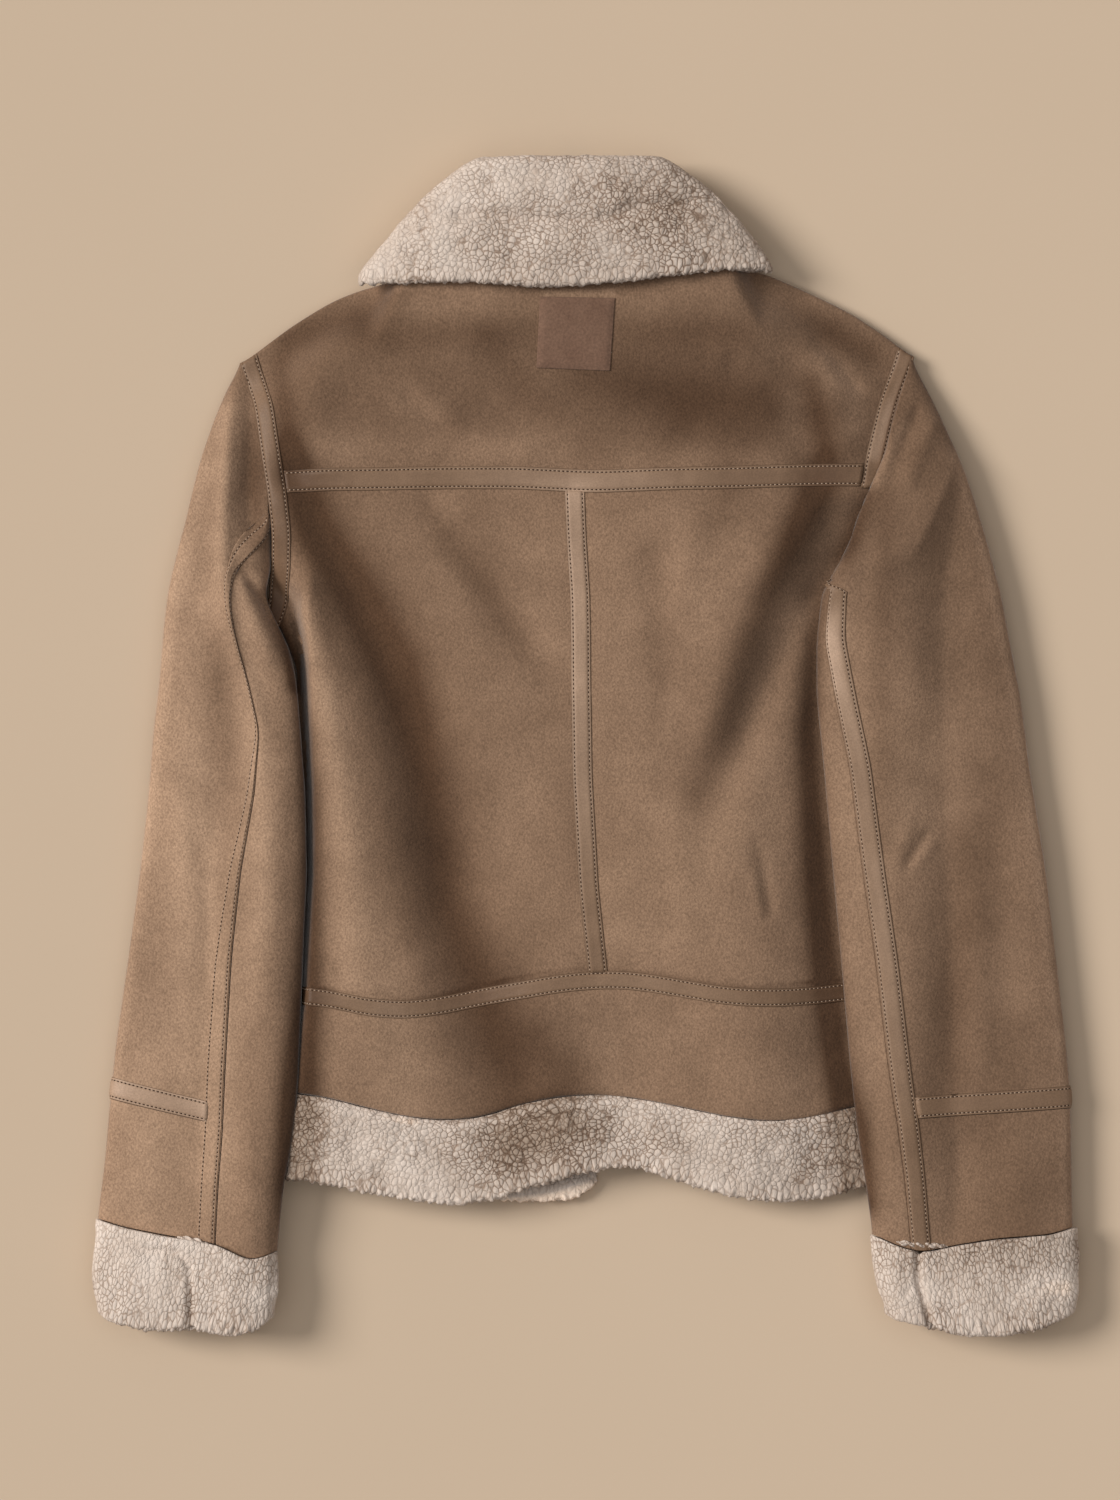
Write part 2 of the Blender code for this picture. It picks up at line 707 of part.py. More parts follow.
def build_sleeve(key):
    arm = SLEEVES[key]
    top, seam, _ = arm["cross"]
    drop = cross_drop(arm)
    table_ys = [row[0] for row in arm["rows"]]
    upper_ys = sorted([y for y in table_ys if y > top + 6.0] + [top, seam + GAP])
    lower_ys = [CUFF_Y, -270.0, seam]
    kept = [y for y in table_ys if arm["under_top"] >= y > top + 6.0]
    under_ys = sorted(kept + [CUFF_Y, -270.0, top, seam])
    sleeve_wall(f"sleeve_outer_{key}", arm, upper_ys, outer_turns(arm), "suede", drop=drop)
    sleeve_wall(f"sleeve_lower_{key}", arm, lower_ys, outer_turns(arm), "suede", drop=drop)
    sleeve_wall(f"sleeve_under_{key}", arm, under_ys, under_turns(arm), "suede", drop=drop)

    def seam_turns(y):
        return [seam_turn(arm, y) + 0.004, tape_turn(arm, y) - 0.001]
    sleeve_wall(f"seam_tape_{key}", arm, under_ys, seam_turns, "tape", inset=TAPE, out=GAP + TAPE,
                drop=drop)

    def cross_turns(y):
        return outer_turns(arm)(y)[1:]
    sleeve_wall(f"cross_tape_{key}", arm, [seam + GAP, top], cross_turns, "tape",
                inset=TAPE, out=GAP + TAPE, drop=drop)


def cuff_point(arm, y, turn, inset):
    """A point of a cuff's section, a plump flattened ring."""
    outer = smooth_lookup(arm["cuff"], y, 1)
    inner = smooth_lookup(arm["cuff"], y, 2)
    mid = (outer + inner) / 2.0
    half = abs(outer - inner) / 2.0
    angle = 2.0 * math.pi * turn
    x = mid - arm["side"] * (half - inset) * math.cos(angle)
    bed = sleeve_bed(arm, mid - arm["side"] * half * math.cos(angle), -325.0) * 0.8
    up = math.sin(angle)
    shape = math.copysign(abs(up) ** 0.8, up)
    return x, y, bed + CUFF_DEPTH + (CUFF_DEPTH - inset) * shape


def build_cuff(key):
    arm = SLEEVES[key]
    turns = [step / 20.0 for step in range(20)]
    upper = []
    lower = []
    for y in (-362.0, -350.0, -335.0, CUFF_Y - CUFF_CLEARANCE):
        top_row = y > -320.0
        low_row = y < -360.0
        outside = []
        inside = []
        for turn in turns:
            for inset, row in ((0.0, outside), (CUFF_WALL, inside)):
                x, _, z = cuff_point(arm, y, turn, inset)
                shift = cuff_edge(arm, x) - CUFF_Y if top_row else 0.0
                if low_row:
                    shift = -CUFF_BULGE * (1.0 - abs(math.cos(2.0 * math.pi * turn)) ** 2.5)
                row.append((x, y + shift, z))
        upper.append(outside)
        lower.append(inside)
    if arm["side"] < 0:
        upper = [list(reversed(row)) for row in upper]
        lower = [list(reversed(row)) for row in lower]
    make_wall(f"cuff_{key}", upper, lower, "pile", round_ends=True)


# ---------------------------------------------------------------- the collar
def collar_point(turn, y, inset):
    """A point of the collar's ring. turn is 0 at its right end, 0.25 on the back, 0.5 at its left."""
    left = smooth_lookup(COLLAR, y, 1) + inset
    right = smooth_lookup(COLLAR, y, 2) - inset
    height = smooth_lookup(COLLAR, y, 3)
    angle = 2.0 * math.pi * turn
    across = math.copysign(abs(math.cos(angle)) ** COLLAR_SQUARE[0], math.cos(angle))
    up = math.copysign(abs(math.sin(angle)) ** COLLAR_SQUARE[1], math.sin(angle))
    x = (left + right) / 2.0 + across * (right - left) / 2.0
    return x, y, height / 2.0 + (height / 2.0 - inset) * up


def build_collar():
    """One cut of cloth: the stand rises from the neck, folds over at the top and falls outside."""
    steps = 26
    opening = 0.012                                   # half the gap at the centre front
    turns = [-0.25 + opening + (1.0 - 2.0 * opening) * step / steps for step in range(steps + 1)]
    double = 2.0 * COLLAR_WALL + COLLAR_SLIT
    fold_depth = 9.0                                  # where the fold's rounding starts
    slit_depth = 14.0                                 # where the slit between stand and fall ends
    neck_y = NECK_Y + GAP
    verts = []
    for turn in turns:
        x = collar_point(turn, NECK_Y, 0.0)[0]
        above = ease((math.sin(2.0 * math.pi * turn) + 0.55) / 0.7)
        fall_y = mix(COLLAR_UNDER_EDGE, lookup(COLLAR_FALL_EDGE, x), above)
        profile = [
            # inset, y
            (0.0, fall_y),
            (0.0, mix(fall_y, COLLAR_FOLD_Y, 0.4)),
            (0.0, COLLAR_FOLD_Y - fold_depth),
            (double * 0.22, COLLAR_FOLD_Y - 2.2),
            (double * 0.5, COLLAR_FOLD_Y),
            (double * 0.78, COLLAR_FOLD_Y - 2.2),
            (double, COLLAR_FOLD_Y - fold_depth),
            (double, mix(neck_y, COLLAR_FOLD_Y, 0.5)),
            (double, neck_y),
            (COLLAR_WALL + COLLAR_SLIT, neck_y),
            (COLLAR_WALL + COLLAR_SLIT, COLLAR_FOLD_Y - slit_depth),
            (COLLAR_WALL, COLLAR_FOLD_Y - slit_depth),
            (COLLAR_WALL, fall_y),
        ]
        for inset, y in profile:
            verts.append(collar_point(turn, y, inset))
        sides = len(profile)
    faces = []
    for ring in range(steps):
        for side in range(sides):
            after = (side + 1) % sides
            a = ring * sides + side
            b = ring * sides + after
            c = (ring + 1) * sides + after
            d = (ring + 1) * sides + side
            faces += [(a, b, c), (a, c, d)]
    cap = [(0, 1, 11, 12), (1, 2, 10, 11), (2, 3, 10), (3, 4, 10), (4, 5, 10), (5, 6, 10),
           (6, 7, 9, 10), (7, 8, 9)]
    top = steps * sides
    for face in cap:
        faces.append(tuple(reversed(face)))
        faces.append(tuple(top + index for index in face))
    make_object("collar", verts, faces, "pile")


# ---------------------------------------------------------------- all of it
def centre_all():
    """Move every mesh so that the garment's box is centred over the origin."""
    made = [piece for piece in bpy.context.scene.objects if piece.type == "MESH"]
    corners = [vertex.co for piece in made for vertex in piece.data.vertices]
    shift = Vector((-(min(c.x for c in corners) + max(c.x for c in corners)) / 2.0,
                    -(min(c.y for c in corners) + max(c.y for c in corners)) / 2.0,
                    -min(c.z for c in corners)))
    for piece in made:
        for vertex in piece.data.vertices:
            vertex.co += shift
    print("shift", [round(value, 5) for value in shift])


def main():
    for old in list(bpy.data.objects):
        bpy.data.objects.remove(old)
    build_back()
    build_armhole_tapes()
    build_patch()
    build_fronts()
    for key in SLEEVES:
        build_sleeve(key)
        build_cuff(key)
    build_collar()
    centre_all()


main()
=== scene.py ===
"""Looks of the faux shearling aviator jacket, laid flat with its back up.

Every cut piece is a cloth shell on the form of its CAD solid. The tables give places and
sizes in millimetres, in the garment's own frame: X to the right, Y up the back, Z from the
surface that it lies on. SHIFT takes that frame to the CAD's.
"""
import math

import bpy
import numpy as np
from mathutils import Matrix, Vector


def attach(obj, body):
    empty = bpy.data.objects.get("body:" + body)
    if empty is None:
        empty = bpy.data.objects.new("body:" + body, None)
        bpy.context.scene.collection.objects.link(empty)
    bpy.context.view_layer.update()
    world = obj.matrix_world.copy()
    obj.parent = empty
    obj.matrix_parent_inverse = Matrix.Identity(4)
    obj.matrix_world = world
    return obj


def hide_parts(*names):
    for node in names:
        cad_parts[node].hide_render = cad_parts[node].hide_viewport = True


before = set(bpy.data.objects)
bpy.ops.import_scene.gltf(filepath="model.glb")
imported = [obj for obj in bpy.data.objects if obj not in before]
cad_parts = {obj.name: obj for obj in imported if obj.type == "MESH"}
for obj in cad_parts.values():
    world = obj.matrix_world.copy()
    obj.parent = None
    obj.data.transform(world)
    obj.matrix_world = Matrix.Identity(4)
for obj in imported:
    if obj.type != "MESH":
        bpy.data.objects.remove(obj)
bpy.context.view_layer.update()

MM = 0.001
SHIFT = (-0.17, -2.5, 0.0)      # the garment frame's origin in the CAD, in millimetres

# ------------------------------------------------------------------ sizes, in millimetres
WALL = 4.6            # suede shell, a little inside its solid
TRIM_WALL = 5.0
TAPE = 1.15
TAPE_EDGE = 0.45      # its thickness at its edges
TAPE_WIDTH = 12.5
ARMHOLE_OVERLAP = 0.9  # of the armhole tapes over the sleeves
GAP = 0.3
EDGE_TOP = 10.3
BODY_TOP = 32.0
LEFT_RISE = 60.0
LEFT_RISE_LOW = 10.0  # below the armpit
RIGHT_RISE = 105.0
SHOULDER_RISE = 42.0
SLEEVE_DEPTH = 13.0
CUFF_DEPTH = 17.0
BED_BACK = 5.0                  # how far in a sleeve's underside starts to follow the body
SLEEVE_LIFT = 1.8
COLLAR_WALL = 8.0
COLLAR_SLIT = 0.6
NECK_Y = 300.0
COLLAR_FOLD_Y = 379.0
COLLAR_UNDER_EDGE = 314.0
CUFF_Y = -312.0       # where the sleeves' cloth ends
CUFF_MOUTH_Y = -362.0
CUFF_WALL = 7.0
CUFF_BULGE = 12.0
CUFF_MARGIN = 1.2     # of the cuff's cloth inside its solid
FRONT_EDGE_X = 7.4
FRONT_TUCK = 1.2
FRONT_TRIM_TOP_Y = -226.0
RIGHT_TRIM_Y = -262.0
EDGE_RADIUS = 3.6     # of the body's rounded edges
EDGE_FALL = WALL * 0.45
NECK_LEFT, NECK_RIGHT = -140.0, 116.0   # where the collar lies on the back
NECK_FADE = 40.0
PATCH_SIZE = 47.0
SUEDE_STEP = 2.3      # between the points of suede and tape
PILE_STEP = 0.95      # and of pile
TAU = 2.0 * math.pi

# Body: Y, left edge, centre line, right edge
BODY = [
    (-300, -201, 9, 191), (-225, -199, 9, 188), (-155, -196, 9, 186), (-90, -193, 2, 184.5),
    (-20, -189, -2, 182), (48, -185, -3, 179.5), (66, -191, -3, 179.6), (82, -199, -3.3, 180),
    (97, -202.5, -3.5, 181), (112, -200.5, -4.5, 182), (137, -199.7, -6, 184.5), (164, -202.6, -7, 187),
    (187, -206.4, -7, 191), (220, -211.5, -7, 199), (244, -220, -7, 208), (300, -236, -7, 226),
]

# Where the back is low: Y, left, right
LOW_EDGE = [
    (-300, -203, 191), (-225, -193, 189), (-155, -185.5, 186), (-80, -180.5, 183.5), (-30, -181, 182),
    (20, -183, 180.5), (60, -184.5, 179.5), (95, -190, 184), (130, -236, 226), (164, -250, 250),
    (200, -243, 238), (220, -236, 228), (247, -221, 206), (300, -200, 190),
]

# Shoulder line and neckline: X, Y
SHOULDER = [
    (-222, 245), (-189, 270), (-163, 286), (-147, 292.5), (-128, 298), (-100, 300), (40, 300), (70, 304),
    (90, 306), (108, 306), (118, 303), (128, 298.5), (142, 292.5), (170, 279), (197, 261), (209, 250),
]

# Seams across the back: X, then Y of the yoke, waist, hem and trim edge
ACROSS = [
    (-202, 169, -157, -219, -274), (-165, 171, -159.5, -223.5, -279), (-140, 171, -165.5, -230, -284),
    (-115, 171.5, -167.5, -236, -289), (-90, 172, -164.5, -238.5, -292), (-65, 172, -159, -236.5, -291),
    (-45, 172, -155.5, -229, -284), (-15, 170.5, -150, -222.5, -274.5), (10, 169.5, -148, -222, -269),
    (30, 170.5, -148.5, -224, -267), (55, 171.5, -152.5, -228.5, -276), (90, 172, -158.5, -236, -286),
    (120, 173, -160, -239.5, -291.5), (150, 174, -158.5, -236.5, -289), (175, 174, -155.5, -230, -282),
    (192, 174, -154, -226, -277),
]
YOKE, WAIST, HEM, TRIM = 1, 2, 3, 4
TAPE_ABOVE = {YOKE: 7.5, WAIST: 5.5}
TAPE_BELOW = {YOKE: 7.0, WAIST: 6.0}

# Ridges (+) and troughs (-) of the back. Each is a run of places: X, Y, half width, height
FOLDS = [
    [(-180, 100, 9, 3), (-172, 62, 11, 4), (-162, 10, 14, 5), (-152, -60, 17, 5.5), (-144, -160, 20, 4.5),
     (-137, -290, 26, 3)],
    [(-180, 170, 14, -4), (-160, 128, 18, -9), (-130, 70, 21, -12), (-108, 10, 23, -13),
     (-94, -50, 24, -12.5), (-82, -110, 27, -10.5), (-60, -205, 33, -8)],
    [(-98, 156, 12, -2), (-56, 92, 14, -3), (-18, 40, 14, -1.5)],
    [(160, 146, 12, -6), (142, 92, 14, -8.5), (124, 53, 14, -8), (105, 12, 15, -6.5), (84, -36, 16, -3)],
    [(122, 118, 16, 2), (98, 62, 16, 3.5), (80, 16, 16, 2)],
    [(174, 150, 8, -4), (162, 120, 9, -7), (148, 96, 9, -6)],
    [(46, 120, 12, -1.8), (52, 40, 14, -1.4)],
    [(146, 96, 8, -5), (148, 20, 9, -8), (156, -90, 9, -8.5), (172, -230, 9, -8)],
    [(128, 252, 14, -3), (140, 214, 18, -5), (148, 176, 16, -4)],
    [(156, 242, 10, 3), (166, 194, 11, 2)],
    [(-198, 234, 9, -2.5), (-189, 176, 10, -3.5)],
    [(-168, 205, 14, 2), (-40, 186, 14, 2.4)],
    [(28, -150, 30, -4), (30, -290, 30, -4)],
    [(125, -110, 26, 3), (122, -290, 26, 4)],
]

# Finer creases, the same way
BACK_CREASES = [
    [(95, 243, 8, -1.8), (118, 228, 8, -1.2)],
    [(84, 256, 6, 1.2), (102, 246, 6, 1)],
    [(150, 258, 6, -1.2), (162, 246, 6, -2), (174, 230, 5, -1.2)],
    [(-172, 226, 10, 1.2), (-166, 190, 10, 1)],
    [(-112, 222, 6, -1.2), (-92, 204, 6, -0.8)],
    [(-104, 226, 6, 1), (-84, 210, 6, 0.8)],
    [(-60, 214, 9, -1), (-36, 206, 9, -0.8)],
    [(118, -104, 3.6, -1.3), (114, -78, 4, -1.1), (110, -60, 5, -0.7)],
    [(111, -104, 4, 0.8), (106, -80, 4, 0.6)],
    [(104, -20, 16, 1.3), (96, -90, 16, 1.2)],
    [(-30, -172, 16, 1.4), (-20, -215, 16, 1.4)],
    [(60, -170, 14, -1.6), (84, -215, 14, -1.6)],
    [(-150, -175, 12, -1.4), (-140, -215, 12, -1.4)],
    [(150, -172, 12, -1), (146, -222, 12, -1)],
    [(-70, -20, 9, 1.2), (-62, -80, 9, 1)],
    [(60, -60, 12, 1.2), (66, -120, 12, 1.2)],
    [(70, 140, 10, 1.2), (60, 90, 10, 1.2)],
]

# Painted shade (-) and painted light (+) on suede and pile, with some nap tone, the same way: troughs, gaps
# beside the sleeves and the strip under the collar painted dark, lit slopes and outer rims painted light
PAINTED_LIGHT_SHADE_AND_NAP = [
    [(-188, 180, 17, -0.95), (-172, 138, 22, -1.15), (-145, 96, 27, -1.15), (-121, 50, 29, -1.15),
     (-106, 0, 28, -1.05), (-97, -50, 28, -0.95), (-89, -100, 29, -0.95), (-70, -145, 30, -0.95),
     (-54, -190, 31, -0.95), (-40, -228, 31, -0.75)],
    [(-24, -186, 16, -0.3), (-6, -212, 18, -0.5), (-18, -242, 14, -0.45)],
    [(-140, 264, 15, -0.4), (-60, 266, 13, -0.3), (0, 268, 10, -0.12), (50, 266, 14, -0.35),
     (100, 266, 14, -0.3)],
    [(-166, 40, 9, 0.5), (-156, -10, 12, 1), (-150, -60, 14, 1.1), (-148, -110, 14, 0.9),
     (-150, -150, 13, 0.5)],
    [(-140, -100, 14, 0.3), (-128, -150, 18, 0.6), (-118, -200, 22, 0.7), (-116, -240, 20, 0.5),
     (-118, -285, 18, 0.4)],
    [(-101, 150, 10, -0.3), (-60, 96, 12, -0.4), (-29, 48, 11, -0.25)],
    [(150, 170, 15, -1), (134, 136, 14, -1.05), (117, 100, 13, -0.85), (100, 56, 13, -0.6),
     (90, 16, 12, -0.6), (72, -28, 13, -0.4)],
    [(90, 176, 11, -0.35), (84, 150, 10, -0.2)],
    [(116, 0, 10, 0.25), (116, -80, 12, 0.35)],
    [(43, 118, 12, -0.25), (46, 46, 12, -0.2)],
    [(178, 158, 7, -0.5), (170, 132, 8, -0.85), (158, 108, 9, -0.8), (146, 70, 8, -0.85),
     (142, 10, 10, -1.05), (148, -90, 12, -1.2), (154, -150, 12, -1.3), (160, -200, 11, -1.3),
     (170, -245, 13, -1.5), (176, -290, 12, -1.4)],
    [(-181, 50, 7, -0.6), (-174, -40, 8, -1.1), (-174, -90, 8, -1), (-175, -150, 10, -1),
     (-178, -200, 12, -1.1), (-180, -240, 13, -1.2), (-182, -275, 12, -0.9)],
    [(-168, 226, 60, -0.48), (168, 226, 60, -0.48)],
    [(90, -212, 18, 0.1), (134, -222, 16, 0.35)],
    [(240, 120, 46, -0.12), (270, -300, 46, -0.16)],
    [(8, 236, 20, -0.3), (60, 226, 26, -0.42), (122, 218, 22, -0.4)],
    [(60, 204, 16, -0.15), (100, 196, 16, -0.15)],
    [(146, 232, 9, -0.3), (154, 188, 9, -0.5)],
    [(150, 246, 10, 0.3), (160, 236, 12, 0.55)],
    [(132, 222, 9, 0.3), (130, 200, 9, 0.2)],
    [(172, 226, 8, 0.5), (172, 206, 8, 0.4)],
    [(-116, 220, 12, 0.35), (-98, 214, 12, 0.25)],
    [(-197, 246, 9, -0.35), (-187, 178, 10, -0.6)],
    [(-190, 262, 12, -0.5), (-165, 272, 13, -0.5), (-130, 284, 12, -0.4)],
    [(136, 280, 14, -0.4), (156, 268, 14, -0.6), (180, 254, 12, -0.4)],
    [(-128, 290, 7, -0.35), (-96, 290, 7, -0.25)],
    [(-60, 262, 9, -0.15), (-38, 226, 12, -0.2), (-20, 214, 10, -0.1)],
    [(-170, 191, 12, 0.35), (-20, 189, 12, 0.3)],
    [(30, 184, 8, 0.2), (120, 184, 8, 0.25)],
    [(-30, 130, 22, 0.12), (-30, -20, 26, 0.12)],
    [(36, 60, 32, 0.12), (56, -130, 36, 0.12)],
    [(-238, 205, 24, 0.5), (-252, 120, 32, 0.5), (-264, 20, 40, 0.6), (-278, -300, 48, 0.55)],
    [(-236, 70, 10, -0.5), (-236, 40, 11, -0.6), (-232, 5, 9, -0.4), (-228, -25, 8, -0.1)],
    [(-252, 0, 11, 0.3), (-250, -50, 12, 0.8), (-249, -110, 14, 1.1), (-244, -160, 17, 1.2),
     (-240, -205, 18, 1.1), (-236, -240, 16, 0.8), (-238, -280, 14, 0.4)],
    [(-213, 45, 8, 0.5), (-210, 10, 9, 0.8), (-205, -40, 11, 1), (-203, -80, 11, 0.9),
     (-210, -130, 10, 0.6), (-214, -170, 9, 0.3)],
    [(-214, 205, 6, -0.4), (-213, 165, 8, -0.8), (-209, 130, 7, -0.5)],
    [(-229, 215, 7, 0.5), (-231, 165, 7, 0.65), (-232, 115, 7, 0.5)],
    [(-206, 100, 4, -0.7), (-197, 82, 5, -1), (-189, 60, 7, -1.1), (-186, 40, 6, -1)],
    [(-244, 178, 5, 0.5), (-263, 101, 5, 0.6), (-275, 8, 5, 0.6), (-292, -136, 5, 0.5),
     (-302, -227, 5, 0.4)],
    [(238, 187, 5, 0.5), (258, 123, 5, 0.7), (272, 57, 5, 0.7), (283, -8, 5, 0.7), (298, -117, 5, 0.6),
     (308, -215, 5, 0.5), (310, -306, 5, 0.5)],
    [(190, 160, 9, -0.3), (188, 40, 9, -0.25), (186, -60, 9, -0.3)],
    [(262, -20, 14, -0.25), (258, -110, 16, -0.3)],
    [(-262, -345, 10, 0.1), (-230, -350, 12, 0.2), (-203, -350, 9, 0.5)],
    [(212, -345, 8, 0.5), (240, -345, 8, 0.3)],
    [(286, -345, 12, 0.7), (306, -345, 11, 0.95)],
    [(-180, 92, 5, 0.3), (-174, 66, 7, 0.5), (-168, 30, 9, 0.5)],
    [(-186, -120, 5, -0.2), (-186, -170, 7, -0.5), (-190, -220, 8, -0.7), (-193, -270, 8, -0.8),
     (-195, -300, 8, -0.6)],
    [(-62, 130, 30, -0.14), (-52, 30, 30, -0.12)],
    [(218, 240, 30, -0.28), (222, 180, 46, -0.34), (228, 110, 50, -0.3), (240, 60, 50, -0.16)],
    [(240, -60, 15, -0.3), (232, -150, 18, -0.45), (224, -230, 18, -0.35)],
    [(262, -180, 36, -0.2), (268, -300, 40, -0.35)],
    [(160, 112, 8, 0.4), (158, 40, 8, 0.5)],
    [(212, -10, 12, 0.2), (214, -60, 12, 0.2)],
    [(204, 206, 4, 0.3), (186, 172, 5, 0.3)],
    [(-48, -258, 22, -0.75), (-4, -254, 22, -0.3)],
    [(-50, -294, 8, 1.3), (-20, -291, 8, 1.3), (4, -283, 8, 1.2)],
    [(-110, 318, 34, 0.35), (-60, 340, 40, 0.25)],
    [(-309, -306, 1.8, 0.15), (-287, -313, 1.8, 0.15), (-261, -316.5, 1.8, 0.15), (-237, -321.5, 1.8, 0.25),
     (-224, -331.5, 1.8, 0.35), (-214, -332, 1.8, 0.35), (-200, -325, 1.8, 0.3)],
    [(-178, -225.5, 2.4, 0.3), (-157, -230, 2.4, 0.35), (-118, -238, 2.4, 0.35), (-86, -243.5, 2.4, 0.35),
     (-54, -238, 2.4, 0.4), (-26, -230, 2.4, 0.4), (10, -226.5, 2.4, 0.4), (41, -228, 2.4, 0.4),
     (73, -234, 2.4, 0.35), (105, -239.5, 2.4, 0.35), (140, -237, 2.4, 0.3)],
    [(-92, -262, 9, -0.3), (-104, -248, 6, -0.2)],
    [(-24, -240, 8, -0.35), (8, -244, 9, -0.35)],
    [(46, -248, 9, -0.3), (60, -254, 8, -0.25)],
    [(150, -262, 9, -0.35), (138, -276, 7, -0.25)],
    [(-176, -152.6, 1.6, -0.5), (-144, -157, 1.6, -0.45), (-112, -161.4, 1.6, -0.45),
     (-80, -156, 1.6, -0.35), (-45, -147.4, 1.6, -0.3), (-6, -142, 1.6, -0.35), (22, -142, 1.6, -0.35),
     (60, -147, 1.6, -0.4), (99, -153.4, 1.6, -0.45), (131, -152, 1.6, -0.45), (163, -149, 1.6, -0.5)],
    [(-26, 290, 1.8, 0.9), (17, 290, 1.8, 0.9)],
    [(30, 356, 26, -0.35), (64, 338, 26, -0.4), (100, 316, 20, -0.25)],
    [(-60, 318, 30, -0.1), (20, 318, 30, -0.15)],
    [(-253, -336, 2, -0.1), (-252, -352, 2.4, -0.7), (-252, -368, 2.4, -0.6)],
    [(212, -324, 2.2, -0.4), (213, -342, 2.4, -0.4), (220, -370, 2.4, -0.5)],
]

# Fold lines and seams in the pile, the same way
PILE_CREASES = [
    [(-308, -309, 2, -0.8), (-295, -315, 2, -1.6), (-282, -321, 2, -1.8), (-261, -322, 2, -1.8),
     (-253, -330, 2.2, -1.8), (-252, -348, 2.4, -2.2), (-252, -372, 3, -2.4)],
    [(212, -322, 2.4, -3), (212, -340, 2.4, -2.8), (219, -364, 2.6, -3.2), (221, -374, 3, -3.2)],
    [(196, -330, 6, 0.8), (200, -360, 7, 0.8)],
    [(-230, -340, 8, 1), (-222, -362, 8, 0.8)],
    [(-150, -252, 8, -1.4), (-128, -270, 9, -1.4)],
    [(-60, -244, 10, -1.8), (-30, -262, 10, -1.8)],
    [(40, -238, 8, 1.4), (60, -262, 8, 1.4)],
    [(110, -250, 9, -1.2), (128, -276, 9, -1.2)],
]

# Painted satin highlights (+) and painted shade (-) on the tapes, the same way
PAINTED_HIGHLIGHTS_AND_SHADE = [
    [(-90, 171.5, 12, 0.1), (-30, 171, 12, 0.45), (20, 170, 12, 0.5), (70, 171, 12, 0.12),
     (120, 172, 12, -0.15), (165, 174, 12, -0.35)],
    [(-7, 160, 10, 0.65), (-6, 60, 10, 0.58), (-2, -20, 10, 0.35), (2, -80, 10, 0.05)],
    [(206, 240, 8, 0.3), (193, 212, 6, 1), (185, 188, 6, 0.9)],
    [(152, 98, 9, 0.1), (156, 70, 6, 1), (160, 44, 7, 0.6), (178, -8, 9, 0.3), (196, -130, 9, 0.35),
     (208, -230, 9, 0.2)],
    [(-194, 150, 9, -0.25), (-198, 100, 10, -0.6), (-200, 84, 10, -0.9)],
    [(-190, 172, 10, -0.3), (-150, 172, 10, -0.1)],
    [(-190, -158, 12, -0.45), (-120, -166, 12, -0.12), (-60, -158, 12, -0.1), (10, -148, 12, 0.05),
     (90, -158, 12, -0.05), (150, -156, 12, -0.35), (170, -154, 7, -0.9)],
    [(-228, 20, 9, 0.2), (-230, -80, 9, 0.15)],
    [(-300, -218, 12, 0.35), (-240, -226, 12, 0.3)],
]

